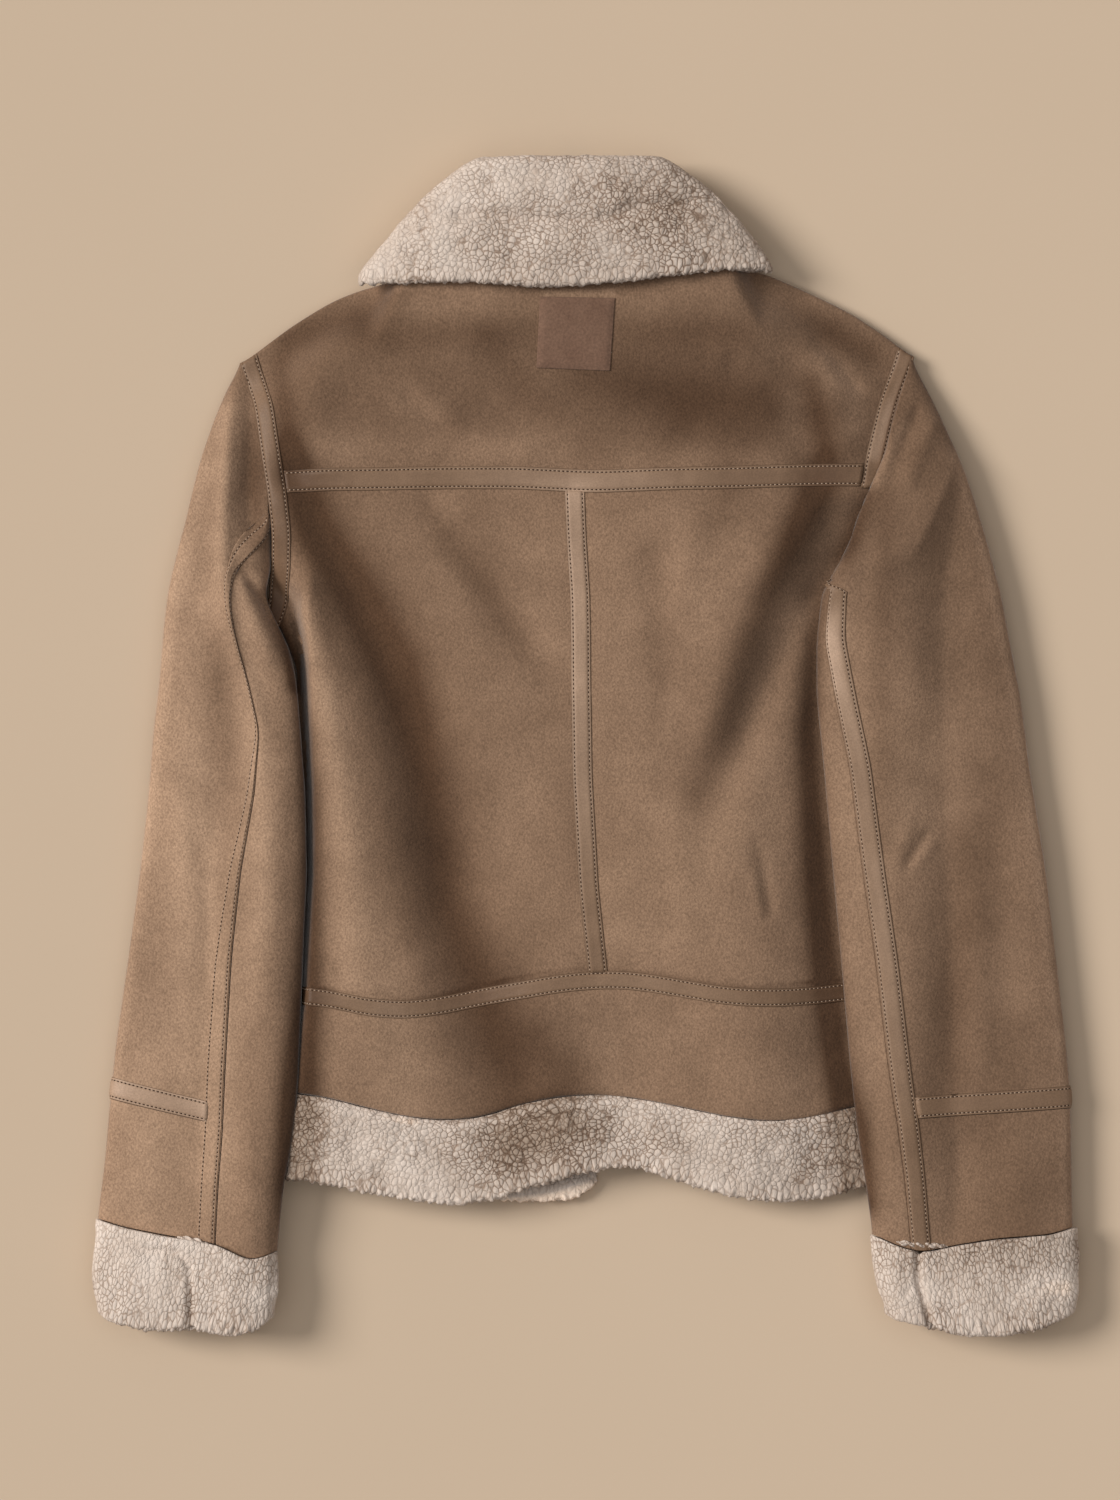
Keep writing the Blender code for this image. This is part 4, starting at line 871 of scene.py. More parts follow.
def build_armhole_tapes():
    share = tape_shares()[None, :]
    for key, side, low_y in (("l", -1, 72.0), ("r", 1, 166.0)):
        rows = np.linspace(0.0, 1.0, int((270.0 - low_y) / SUEDE_STEP) + 1)[:, None]
        x = np.zeros((len(rows), share.shape[1]))
        across = share if side < 0 else 1.0 - share
        for _ in range(20):
            high = SHOULDER_LINE(x) - 0.8
            y = mix(low_y, high, rows) if np.any(x) else mix(low_y, 265.0, rows) + 0.0 * share
            if side < 0:
                edge = BODY_LEFT(np.maximum(y, 100.0)) - 0.012 * np.maximum(100.0 - y, 0.0) ** 2
            else:
                edge = BODY_RIGHT(y)
            x = edge - side * (across * TAPE_WIDTH - ARMHOLE_OVERLAP)
        base = back_height(x, y) - roll(SHOULDER_LINE(x) - y, EDGE_RADIUS, EDGE_FALL)
        tape_shell(f"armhole_tape_{key}_tape", x, y, base, share, y, 11 + side, 0.7)


def build_patch():
    """The blank patch under the collar, sewn down around its edges."""
    low_left, low_right, top_right, top_left = PATCH_CORNERS
    share, offset = spread(PATCH_SIZE, 2.0, (0.0, 0.7, 1.6, 2.6))
    share = share + offset / PATCH_SIZE
    across, up = share[None, :], share[:, None]
    x, y = (mix(mix(low_left[axis], low_right[axis], across),
                mix(top_left[axis], top_right[axis], across), up) for axis in (0, 1))
    edge = PATCH_SIZE * np.minimum(np.minimum(across, 1.0 - across), np.minimum(up, 1.0 - up))
    groove = 0.35 * np.exp(-(((edge - 1.6) / 0.5) ** 2))
    lift = GAP + 0.9 * ease(edge / 2.2) + 0.25 - groove
    base = back_height(x, y)
    under = thinned(points(x, y, base + TAPE_BED), 3)
    add_panel("blank_patch_suede", shell("blank_patch_suede", points(x, y, base + lift), under), "patch")


# ------------------------------------------------------------------ the fronts, underneath
def build_fronts():
    """Both fronts lie flat under the back and meet near the middle."""
    sides = {"left": (side_line(-1, FRONT_TUCK), level_line(FRONT_EDGE_X - GAP)),
             "right": (level_line(FRONT_EDGE_X), side_line(1, -FRONT_TUCK))}
    for key, (left, right) in sides.items():
        x, y, inside = flat_grid(level_line(FRONT_TRIM_TOP_Y + GAP), lambda x: SHOULDER_LINE(x) - GAP,
                                 left, right, (195.0, 500.0), 7.0)
        rest = COLLAR_WALL * ease((y - 262.0) / 36.0) * neck_window(x)
        under = points(x, y, rest + roll(inside[key], EDGE_RADIUS, WALL * 0.4))
        name = f"front_{key}_suede"
        add_panel(name, shell(name, points(x, y, rest + WALL + 0.2), under), "suede")


# ------------------------------------------------------------------ sleeves
def arc_turns(arm, y, low, high, shares):
    """Turns that part a stretch of each section into equal lengths of cloth."""
    turns = np.zeros((len(y), len(shares)))
    for row, level in enumerate(y):
        dense = np.linspace(low[row], high[row], 160)
        x, z = ring(arm, np.full(160, level), dense)
        length = lengths(np.hypot(np.diff(x), np.diff(z)))
        turns[row] = np.interp(shares * length[-1], length, dense)
    return turns


CUFF_DROP_REACH = 50.0          # how far up the sleeve its rows follow the cuff's edge
CROSS_DROP_REACH = 90.0         # and the cross tape, to each side of it


def cuff_drop(arm, x, y):
    """How far the sleeve's lower edge departs from a level line, faded out up the sleeve."""
    return (arm["edge"](x) - CUFF_Y) * ease((CUFF_Y + CUFF_DROP_REACH - y) / CUFF_DROP_REACH)


def cross_drop(arm, x, y):
    """The cross tape's slight slope over the sleeve's width."""
    top, _, slope = arm["cross"]
    outer, inner = arm["outer"](y), arm["inner"](y)
    near = 1.0 - ease(np.abs(y - top) / CROSS_DROP_REACH)
    return cuff_drop(arm, x, y) - slope * near * np.abs(x - outer) / np.abs(inner - outer)


def sleeve_points(arm, y, turns, inset):
    """Points of a stretch of sleeve, its rows following the cuff and the cross tape."""
    level = y[:, None] + 0.0 * turns
    x, z = ring(arm, level, turns, inset)
    return points(x, level + cross_drop(arm, x, level), z)


def sleeve_rows(low, high):
    count = int((high - low) / SUEDE_STEP)
    return np.concatenate([[low, low + 0.5, low + 1.4], np.linspace(low + 2.6, high - 2.6, count),
                           [high - 1.4, high - 0.5, high]])


# Where the outer cuts end, underneath, and where the under cut begins
OUTER_TURN, UNDER_TURN = 0.748, -0.248
# From the back seam to the outer cuts, to the under cut, and to the seam tape
OUTER_START, UNDER_END, SEAM_TAPE_START = 0.0008, -0.0012, 0.003
OUTER_COLUMNS, UNDER_COLUMNS, CROSS_COLUMNS = 62, 42, 50

# Width of the seam tape in sight, across the sleeve: Y, width
SEAM_TAPE = {
    "l": [(-312, 12), (-190, 12.5), (-140, 11.5), (-110, 10), (-60, 7), (-15, 4.5), (20, 1), (60, 1),
          (75, 2.2), (88, 3.6), (100, 4.8), (115.5, 7.3), (122, 11.6), (128, 16), (136, 17), (142, 11.8),
          (146, 6.8), (149.5, 1.4)],
    "r": [(-312, 13), (-190, 14.5), (0, 14), (60, 13.5), (80, 12.4), (100, 11), (115, 10)],
}


def tape_turn(key, arm, y):
    """The turn at the seam tape's far edge."""
    width = curve(SEAM_TAPE[key], 1, 2.0)(y)
    tucked = seam_turn(arm, y) - turn_at(arm, y, arm["seam"](y))
    return turn_at(arm, y, arm["seam"](y) + arm["side"] * width) + tucked


def build_sleeve(key):
    arm = SLEEVES[key]
    side = arm["side"]
    top, seam_y, _ = arm["cross"]

    def stretch(name, rows, low, high, columns):
        shares, offsets = spread(columns * SUEDE_STEP, SUEDE_STEP, (0.0, 0.5, 1.3, 2.4))
        shares = np.clip(shares + offsets / (columns * SUEDE_STEP), 0.0, 1.0)
        turns = arc_turns(arm, rows, low, high, shares)
        outside = sleeve_points(arm, rows, turns, 0.0)
        inside = thinned(sleeve_points(arm, rows, turns, WALL), 4)
        add_panel(name, shell(name, outside[:, ::side], inside[:, ::side]), "suede")

    under = sleeve_rows(CUFF_Y, arm["under_top"])
    for part, rows in (("outer", sleeve_rows(seam_y + GAP, arm["top"])),
                       ("lower", sleeve_rows(CUFF_Y, seam_y))):
        seam = seam_turn(arm, rows) + OUTER_START
        stretch(f"sleeve_{part}_{key}_suede", rows, seam, np.full(len(rows), OUTER_TURN), OUTER_COLUMNS)
    seam = seam_turn(arm, under) + UNDER_END
    stretch(f"sleeve_under_{key}_suede", under, np.full(len(under), UNDER_TURN), seam, UNDER_COLUMNS)

    def tape(name, rows, turns, lift, share, finish="tape"):
        outside, inside = (sleeve_points(arm, rows, turns, inset)[:, ::side] for inset in (-lift, -0.15))
        sewn_tape(f"{name}_{key}_tape", outside, inside, share, finish)

    share = tape_shares()
    first = seam_turn(arm, under) + SEAM_TAPE_START
    turns = mix(first[:, None], tape_turn(key, arm, under)[:, None], share[None, :])
    level = under[:, None] + 0.0 * turns
    lift = pillow(share)[None, :] + puckers(level, share[None, :], 31, 0.6)
    if key == "l":
        lift = lift * mix(1.0, mix(1.0, 0.3, share[None, :]), ease((-20.0 - level) / 60.0))
    tape("seam_tape", under, turns, GAP + lift, share[None, :], "napped" if key == "l" else "tape")

    rows = mix(seam_y + GAP, top, share)
    start = tape_turn(key, arm, rows) + (0.0005 if key == "r" else -0.006)
    columns = np.linspace(0.0, 1.0, CROSS_COLUMNS)
    turns = arc_turns(arm, rows, start, np.full(len(rows), OUTER_TURN), columns)
    lift = pillow(share)[:, None] + puckers(columns[None, :] * 110.0, share[:, None], 41, 0.6)
    lift = 0.35 + 0.75 * lift * ease((1.0 - columns[None, :]) / 0.2)
    tape("cross_tape", rows, turns, lift, share[:, None])


# ------------------------------------------------------------------ pile: curls and the cracks between them
CELL_PRIMES = (73856093, 19349663, 83492791)
SEED_PRIME = 2654435761
STIR = ((15, 2246822519), (13, 3266489917))
WORD = 0xFFFFFFFF               # 32 bits
DRAW = 0xFFFFF                  # the 20 of them that make a number


def scatter(cell, seed):
    """Three even random numbers for each whole-numbered cell, stirred up from its place."""
    code = (cell[:, 0] * CELL_PRIMES[0]) ^ (cell[:, 1] * CELL_PRIMES[1]) ^ (cell[:, 2] * CELL_PRIMES[2])
    code = (code + seed * SEED_PRIME) & WORD
    values = []
    for _ in range(3):
        for shift, prime in STIR:
            code = ((code ^ (code >> shift)) * prime) & WORD
        values.append(((code ^ (code >> 16)) & DRAW) / (DRAW + 1.0))
    return np.stack(values, axis=-1)


def curls(place, size, seed):
    """Distance from the nearest curl's middle."""
    place = place / size
    base = np.floor(place).astype(np.int64)
    nearest = np.full(len(place), 9.0)
    for step in np.ndindex(3, 3, 3):
        cell = base + np.array(step) - 1
        nearest = np.minimum(nearest, np.linalg.norm(place - cell - scatter(cell, seed), axis=1))
    return nearest


def drift(place, size, seed):
    """Smooth noise from -1 to 1, one swell to a size."""
    place = place / size
    base = np.floor(place).astype(np.int64)
    part = ease(place - base)
    total = np.zeros(len(place))
    for step in np.ndindex(2, 2, 2):
        corner = np.array(step)
        weight = np.prod(np.where(corner == 1, part, 1.0 - part), axis=1)
        total += weight * scatter(base + corner, seed)[:, 0]
    return 2.0 * total - 1.0


KNOB_SIZE = 3.2                 # of the knobs along a rim
RIM_REACH = 3.6                 # how far in from it they stand out


def fluff(piece, outside, seed, rim, lump=0.9, comb=(1.0, 1.0, 0.0)):
    """Swell the outside of a piece, its first points, unevenly, with small knobs along its rim.

    rim gives a place's distance from the rim, in millimetres. The curls beside it are drawn out
    square to it, by the places that the finish reads. comb says how many curls there are across
    and down the piece, beside the usual, and how far they lean.
    """
    count = outside[..., 0].size
    place = read_points(piece, "co")
    normal = read_points(piece, "normal")
    at = place / MM - np.array(SHIFT)
    away = rim(at[:, 0], at[:, 1])
    near_rim = np.exp(-((away / RIM_REACH) ** 2))
    sway = np.stack([drift(at, 3.0, seed + number) for number in (1, 2, 3)], axis=-1)
    drawn = at.copy()
    drawn[:, 0] = comb[0] * at[:, 0] + comb[2] * at[:, 1]
    drawn[:, 1] = comb[1] * (at[:, 1] - 0.42 * np.clip(away, -10.0, 10.0))
    near = curls(drawn + 0.8 * sway, KNOB_SIZE, seed)
    height = lump * (0.55 * drift(at, 6.0, seed + 7) + 0.8 * drift(at, 16.0, seed + 8))
    height += (1.0 - 1.6 * near) * (0.12 + 2.3 * near_rim)
    height += folds(PILE_CREASES, at[:, 0], at[:, 1]) * ease(normal[:, 2] / 0.5)
    place[:count] += normal[:count] * height[:count, None] * MM
    piece.data.vertices.foreach_set("co", place.ravel())
    piece.data.update()
    store(piece, "curl_place", drawn * MM)


def add_pile(name, outside, inside, seed, rim, ring_columns=False, **look):
    made = shell(name, outside, inside, ring_columns)
    fluff(made, outside, seed, rim, **look)
    add_panel(name, made, "pile")


# About how long the faces of the pile's pieces are, from edge to seam
HEM_TRIM_FACE, CUFF_FACE, COLLAR_FACE = 50.0, 44.0, 74.0

# The cuff tabs' paths: X, Y
CUFF_TABS = {
    "l": [(-261, -312.6), (-247, -315.4), (-231.5, -324)],
    "r": [(197, -315.6), (214, -317.4), (231.5, -318.8)],
}


CORNER_RISE = 7.0               # of the left front's corner, which the back's trim leaves in sight
CORNER_X, CORNER_REACH = -22.0, 32.0
CORNER_FROM, CORNER_OVER = -266.0, 16.0


def build_hem_trims():
    """The back's pile trim, its lower edge rounded under, and the fronts' trims below it."""
    columns = np.linspace(0.0, 1.0, int(390.0 / PILE_STEP) + 1)[None, :]
    radius = TRIM_WALL / 2.0
    bends = np.linspace(-0.5 * math.pi, 0.5 * math.pi, 9)
    wrap_in = np.array([radius * (1.0 - math.cos(bend)) for bend in bends])
    wrap_up = np.array([radius + radius * math.sin(bend) for bend in bends])
    flat_count = int(HEM_TRIM_FACE / PILE_STEP)
    flat = slice(len(bends), None)
    share = (np.arange(flat_count) + 1.0)[:, None] / flat_count
    x = np.zeros((len(bends) + flat_count, columns.shape[1]))
    for _ in range(8):
        low = SEAMS[TRIM](x)
        high = SEAMS[HEM](x)[flat] - GAP / 2.0
        y = np.concatenate([low[:len(bends)] + wrap_in[:, None], mix(low[flat] + radius, high, share)])
        x = mix(LEFT_SIDE(y) + 1.5, RIGHT_SIDE(y) - 1.5, columns)
    drop = np.concatenate([TRIM_WALL - wrap_up, np.zeros(flat_count)])[:, None]
    top = back_height(x, y) + 0.9
    side = np.minimum(x - LEFT_SIDE(y), RIGHT_SIDE(y) - x)
    tucked = 2.2 * np.exp(-(((SEAMS[HEM](x) - y) / 3.0) ** 2))
    outside = points(x, y, top - drop - roll(side, 6.0, 2.6) * (drop < radius) - tucked)
    under = points(x[flat], y[flat], top[flat] - TRIM_WALL)
    add_pile("hem_trim_pile", outside, thinned(under, 5), 5, lambda x, y: y - SEAMS[TRIM](x))

    edge = curve(FRONT_TRIM_EDGE, 1, 5.0)
    fronts = {"left": (lambda x: edge(x) + 1.0, side_line(-1, 1.5), level_line(FRONT_EDGE_X - GAP), 1.1),
              "right": (level_line(RIGHT_TRIM_Y), level_line(FRONT_EDGE_X), side_line(1, -5.0), 2.4)}
    for key, (low, left, right, step) in fronts.items():
        x, y, inside = flat_grid(low, level_line(FRONT_TRIM_TOP_Y), left, right, (205.0, 60.0), step)
        edge_in = np.minimum(np.minimum(inside["low"], inside["left"]), inside["right"])
        raised = CORNER_RISE * np.exp(-(((x - CORNER_X) / CORNER_REACH) ** 2))
        raised = raised * ease((CORNER_FROM - y) / CORNER_OVER)
        outside = points(x, y, raised + TRIM_WALL - 1.0 - roll(edge_in, 3.0, 2.2))
        under = points(x, y, raised + 0.05 + roll(edge_in, 3.0, 1.6))
        add_pile(f"front_trim_{key}_pile", outside, thinned(under, 4), 15, lambda x, y: y - low(x), lump=0.6)


def build_cuff(key):
    """A plump pile cuff: a ring of cloth, rounded at its mouth, tucked under the sleeve's end."""
    arm = SLEEVES[key]
    side = arm["side"]
    around = int(300.0 / PILE_STEP)
    turn = (np.arange(around) / around)[None, :]
    turn = turn + 0.012 * np.sin(8.0 * math.pi * turn) / math.pi
    across, up = np.cos(TAU * turn), np.sin(TAU * turn)
    radius = CUFF_WALL / 2.0
    sections = [(0.0, radius * (1.0 - math.cos(bend)), radius - radius * math.sin(bend))
                for bend in np.linspace(-0.5 * math.pi, 0.5 * math.pi, 10)]
    straight = int(CUFF_FACE / PILE_STEP)
    shares = (np.arange(straight) + 1.0) / straight
    sections += [(share, radius * (1.0 - share), 0.0) for share in shares]

    def section(share, shift, inset):
        level = mix(CUFF_MOUTH_Y, CUFF_Y - 0.6, share)
        outer, inner = arm["cuff_outer"](level), arm["cuff_inner"](level)
        mid, half = (outer + inner) / 2.0, np.abs(outer - inner) / 2.0
        x = mid - side * (half - inset - CUFF_MARGIN) * across
        bed = sleeve_bed(arm, mid - side * half * across, np.full(turn.shape, -325.0)) * 0.8
        z = bed + CUFF_DEPTH + (CUFF_DEPTH - inset - CUFF_MARGIN) * np.sign(up) * np.abs(up) ** 0.8
        bulge = CUFF_BULGE * (1.0 - np.abs(across) ** 2.5)
        y = level + shift - bulge * (1.0 - share) ** 1.5 + 1.5 * (1.0 - share)
        y = y + (arm["edge"](x) - CUFF_Y) * ease(share)
        y = y + arm["mouth"](x) * (1.0 - share) ** 1.5
        return points(x, y, z)[0]
    outside = np.stack([section(*row) for row in sections])
    inner_rows = [(share, radius * (1.0 - share), CUFF_WALL) for share in np.linspace(0.05, 1.0, 10)]
    inside = np.stack([section(*row) for row in inner_rows])[:, ::3]
    add_pile(f"cuff_{key}_pile", outside[:, ::side], inside[:, ::side], 25 + side, lambda x, y: y + 371.0,
             ring_columns=True, comb=(1.3, 0.8, 0.2 * side))


def build_cuff_tab(key):
    """The short twisted edge at the cuff's seam: two strands of pile laid round each other."""
    arm = SLEEVES[key]
    path = np.array(CUFF_TABS[key])
    run = lengths(np.hypot(np.diff(path[:, 0]), np.diff(path[:, 1])))
    at = np.linspace(0.0, run[-1], 90)
    x, y = np.interp(at, run, path[:, 0]), np.interp(at, run, path[:, 1])
    _, z = ring(arm, y, turn_at(arm, y, x))
    around = np.linspace(0.0, TAU, 25)[None, :-1]
    ends = ease(np.minimum(at, run[-1] - at) / 5.0)[:, None]
    radius = (0.25 + 0.75 * ends) * (1.45 + 0.55 * np.cos(2.0 * around - TAU * at[:, None] / 6.5))
    ahead = unit(np.stack([np.gradient(x), np.gradient(y)], axis=-1))
    aside = radius * np.cos(around)
    grid = points(x[:, None] - ahead[:, 1:] * aside, y[:, None] + ahead[:, :1] * aside,
                  z[:, None] + 0.9 * ends + radius * np.sin(around))
    index = numbered(grid)
    faces = grid_faces(index, True).tolist() + [index[0][::-1], index[-1]]
    name = f"cuff_tab_{key}_pile"
    tab = make_mesh(name, grid.reshape(-1, 3), faces)
    store(tab, "curl_place", grid * MM)
    add_panel(name, tab, "pile")


def collar_place(turn, y, inset):
    """X and Z of the collar's section: turn 0 is its right end, 0.25 its top."""
    left, right = COLLAR_LEFT(y) + inset, COLLAR_RIGHT(y) - inset
    across, up = np.cos(TAU * turn), np.sin(TAU * turn)
    half = COLLAR_HEIGHT(y) / 2.0
    x = (left + right) / 2.0 + np.sign(across) * np.abs(across) ** 0.8 * (right - left) / 2.0
    return x, half + (half - inset) * np.sign(up) * np.abs(up) ** 0.55


FOLD_BEGINS = 9.5               # below the top of the collar's solid
FOLD_RISE = 8.2                 # of the fold above that
SLIT_ENDS = 14.0                # the slit between fall and stand, below the same top


def build_collar():
    """The stand rises from the neck, folds over at the top, and falls outside to its edge."""
    opening = 0.012             # between its two ends, underneath, in turns
    turn = np.concatenate([np.linspace(-0.25 + opening, -0.04, 60)[:-1], np.linspace(-0.04, 0.54, 420),
                           np.linspace(0.54, 0.75 - opening, 60)[1:]])
    wall = COLLAR_WALL - 1.0
    stand = 2.0 * COLLAR_WALL + COLLAR_SLIT
    face = 1.3                  # of the fall's face in from the collar's outline
    rim = wall / 2.0
    x_edge, _ = collar_place(turn, np.full(turn.shape, NECK_Y), 0.0)
    above = ease((np.sin(TAU * turn) + 0.55) / 0.7)
    fall = mix(COLLAR_UNDER_EDGE, FALL_EDGE(x_edge), above) + 1.2
    neck = np.maximum(NECK_Y, SHOULDER_LINE(np.clip(x_edge, -100.0, 110.0))) + GAP
    top = COLLAR_FOLD_Y - FOLD_BEGINS
    slit_top = COLLAR_FOLD_Y - SLIT_ENDS
    half = (stand - face) / 2.0

    # Down the fall's inside, round its edge, up its face, over the fold, and down and up the stand
    rows = [(face + wall, mix(slit_top, fall + rim, share)) for share in np.linspace(0.0, 1.0, 10)[:-1]]
    rows += [(face + rim + rim * math.sin(bend), fall + rim - rim * math.cos(bend))
             for bend in np.linspace(0.5 * math.pi, -0.5 * math.pi, 9)]
    count = int(COLLAR_FACE / PILE_STEP)
    rows += [(face, mix(fall + rim, top, share)) for share in (np.arange(count) + 1.0) / count]
    rows += [(face + half - half * math.cos(bend), top + FOLD_RISE * math.sin(bend))
             for bend in np.linspace(0.0, math.pi, 22)[1:]]
    rows += [(stand, mix(top, neck, share)) for share in np.linspace(0.0, 1.0, 24)[1:]]
    rows += [(COLLAR_WALL + COLLAR_SLIT + 0.4, mix(neck, slit_top, share))
             for share in np.linspace(0.0, 1.0, 8)]
    loop = []
    for inset, y in rows:
        y = np.broadcast_to(y, turn.shape)
        x, z = collar_place(turn, y, inset)
        loop.append(points(x, y, z))
    loop = np.stack(loop)
    loop[..., 2] += folds(COLLAR_CREASES, loop[..., 0], loop[..., 1]) * (loop[..., 2] > 30.0)
    index = numbered(loop)
    faces = grid_faces(np.concatenate([index, index[:1]]))[:, ::-1].tolist() + [index[:, 0], index[::-1, -1]]
    collar = make_mesh("collar_pile", loop.reshape(-1, 3), faces)
    bpy.context.view_layer.update()
    fluff(collar, loop, 45, lambda x, y: y - FALL_EDGE(x))
    add_panel("collar_pile", collar, "pile")


# ------------------------------------------------------------------ finishes
class Finish:
    """A node material, built with short calls."""

    def __init__(self, name, roughness, sheen=0.0, sheen_roughness=0.5, specular=0.5):
        self.material = bpy.data.materials.new(name)
        self.material.use_nodes = True
        self.tree = self.material.node_tree
        self.shader = self.tree.nodes["Principled BSDF"]
        self.feed(self.shader, {"Roughness": roughness, "Specular IOR Level": specular,
                                "Sheen Weight": sheen, "Sheen Roughness": sheen_roughness})
        self.place = self.add("ShaderNodeTexCoord").outputs["Object"]

    def feed(self, node, inputs):
        """Give each input a value, or link another node's output to it."""
        for key, value in inputs.items():
            if isinstance(value, bpy.types.NodeSocket):
                self.tree.links.new(value, node.inputs[key])
            else:
                node.inputs[key].default_value = value

    def add(self, kind, inputs=None, **settings):
        node = self.tree.nodes.new(kind)
        for key, value in settings.items():
            setattr(node, key, value)
        self.feed(node, inputs or {})
        return node

    def noise(self, scale, detail=3.0, roughness=0.55, distortion=0.0, stretch=None):
        place = self.place
        if stretch:
            place = self.add("ShaderNodeMapping", {"Scale": stretch[:3], "Rotation": (0.0, 0.0, stretch[3]),
                                                   "Vector": place}).outputs["Vector"]
        return self.add("ShaderNodeTexNoise", {"Scale": scale, "Detail": detail, "Roughness": roughness,
                                               "Distortion": distortion, "Vector": place}).outputs["Fac"]

    def ramp(self, factor, *stops):
        """A colour for a number. Each stop is a place and its red, green and blue, or its grey."""
        node = self.add("ShaderNodeValToRGB", {"Fac": factor})
        elements = node.color_ramp.elements
        while len(elements) < len(stops):
            elements.new(0.5)
        for element, (at, *shade) in zip(elements, stops):
            element.position = at
            element.color = (*(shade * 3)[:3], 1.0)
        return node.outputs["Color"]

    def mix(self, factor, first, second, blend="MIX"):
        """Mix two colours, which are the node's inputs 6 and 7."""
        node = self.add("ShaderNodeMix", {0: factor, 6: first, 7: second}, data_type="RGBA", blend_type=blend)
        return node.outputs[2]

    def times(self, colour, *others):
        for other in others:
            colour = self.mix(1.0, colour, other, "MULTIPLY")
        return colour

    def vector(self, operation, inputs):
        return self.add("ShaderNodeVectorMath", inputs, operation=operation).outputs["Vector"]

    def bent(self, scale, reach):
        """The place, swayed by a noise so that what it carries curves and varies."""
        sway = self.add("ShaderNodeTexNoise", {"Scale": scale, "Detail": 1.0, "Vector": self.place})
        centred = self.vector("SUBTRACT", {0: sway.outputs["Color"], 1: (0.5, 0.5, 0.5)})
        return self.vector("ADD", {0: self.place, 1: self.vector("SCALE", {0: centred, "Scale": reach})})

    def cracks(self, scale, feature="DISTANCE_TO_EDGE"):
        """How far a place is from the nearest border between cells, or from its cell's middle."""
        return self.add("ShaderNodeTexVoronoi", {"Scale": scale, "Vector": self.place},
                        feature=feature).outputs["Distance"]

    def attribute(self, name):
        return self.add("ShaderNodeAttribute", attribute_name=name).outputs["Fac"]

    def bump(self, factor, distance, strength, after=None):
        node = self.add("ShaderNodeBump", {"Distance": distance, "Strength": strength, "Height": factor})
        if after:
            self.feed(node, {"Normal": after})
        return node.outputs["Normal"]

    def finish(self, colour, normal):
        self.feed(self.shader, {"Base Color": colour, "Normal": normal})
        return self.material


WHITE = (1.0, 1.0, 1.0, 1.0)


def suede_finish(name="brushed_suede"):
    """Suede nap: broad cloudy patches, small worn specks, a fine grain, and painted light and shade from its
    points' values, with some nap tone.
    """
    finish = Finish(name, 0.95, sheen=0.45, sheen_roughness=0.4, specular=0.12)
    broad = finish.ramp(finish.noise(9.0, 4.0, 0.55, 0.6),
                        (0.32, 0.234, 0.144, 0.091), (0.68, 0.318, 0.2, 0.1285))
    patch = finish.ramp(finish.noise(30.0, 3.0, 0.5, 0.6), (0.3, 0.9, 0.89, 0.88), (0.7, 1.06))
    nap = finish.ramp(finish.noise(820.0, 2.0, 0.65, 0.0, (1.0, 0.75, 1.0, 0.6)),
                      (0.3, 0.72, 0.71, 0.7), (0.7, 1.24))
    # Painted shade and painted light, with some nap tone, from the points' values
    painted_light_shade_and_nap = finish.ramp(finish.attribute("nap"),
                          (0.0, 0.31, 0.26, 0.22), (0.5, 1.0), (1.0, 1.45, 1.5, 1.54))
    normal = finish.bump(finish.noise(650.0, 3.0, 0.6), 0.0006, 0.55)
    normal = finish.bump(finish.noise(90.0, 3.0, 0.5), 0.0016, 0.4, normal)
    return finish.finish(finish.times(broad, patch, nap, painted_light_shade_and_nap), normal)


def tape_finish():
    """Smooth coated tape: a faint grain, painted satin highlights and painted shade from its points' values,
    and painted shade at its edges and stitch rows.
    """
    finish = Finish("satin_tape", 0.5, specular=0.2)
    broad = finish.ramp(finish.noise(40.0), (0.3, 0.215, 0.131, 0.08), (0.7, 0.262, 0.162, 0.1))
    grain = finish.ramp(finish.noise(900.0, 2.0), (0.3, 0.86), (0.7, 1.1))
    # Painted satin highlights and painted shade from the points' values
    painted_highlight_and_shade = finish.ramp(finish.attribute("nap"), (0.0, 0.5, 0.44, 0.4), (0.5, 1.0), (1.0, 2.0, 2.2, 2.5))
    # Painted shade: a dark line at the very edge and along each stitch row, with a pale line between
    edge = finish.ramp(finish.attribute("edge"), (0.0, 0.42, 0.4, 0.38), (0.09, 0.75, 0.74, 0.73),
                       (0.2, 1.1, 1.12, 1.14), (0.36, 1.0), (0.5, 0.66, 0.64, 0.62), (0.66, 0.98))
    normal = finish.bump(finish.noise(1100.0, 2.0), 0.0003, 0.35)
    normal = finish.bump(finish.noise(120.0, 2.0), 0.0008, 0.35, normal)
    return finish.finish(finish.times(broad, grain, painted_highlight_and_shade, edge), normal)


def thread_finish(name, low, high):
    """Matt thread, or a near-black mark of painted shade for the hole that it goes down."""
    finish = Finish(name, 0.8, specular=0.1)
    tone = finish.ramp(finish.noise(300.0, 2.0), (0.3, *low), (0.7, *high))
    return finish.finish(tone, finish.bump(finish.noise(2500.0, 1.0), 0.0002, 0.5))


CURL_SCALE = 310.0              # curls to a metre
CLUMP_SCALE = 130.0             # and the matted clumps that they make


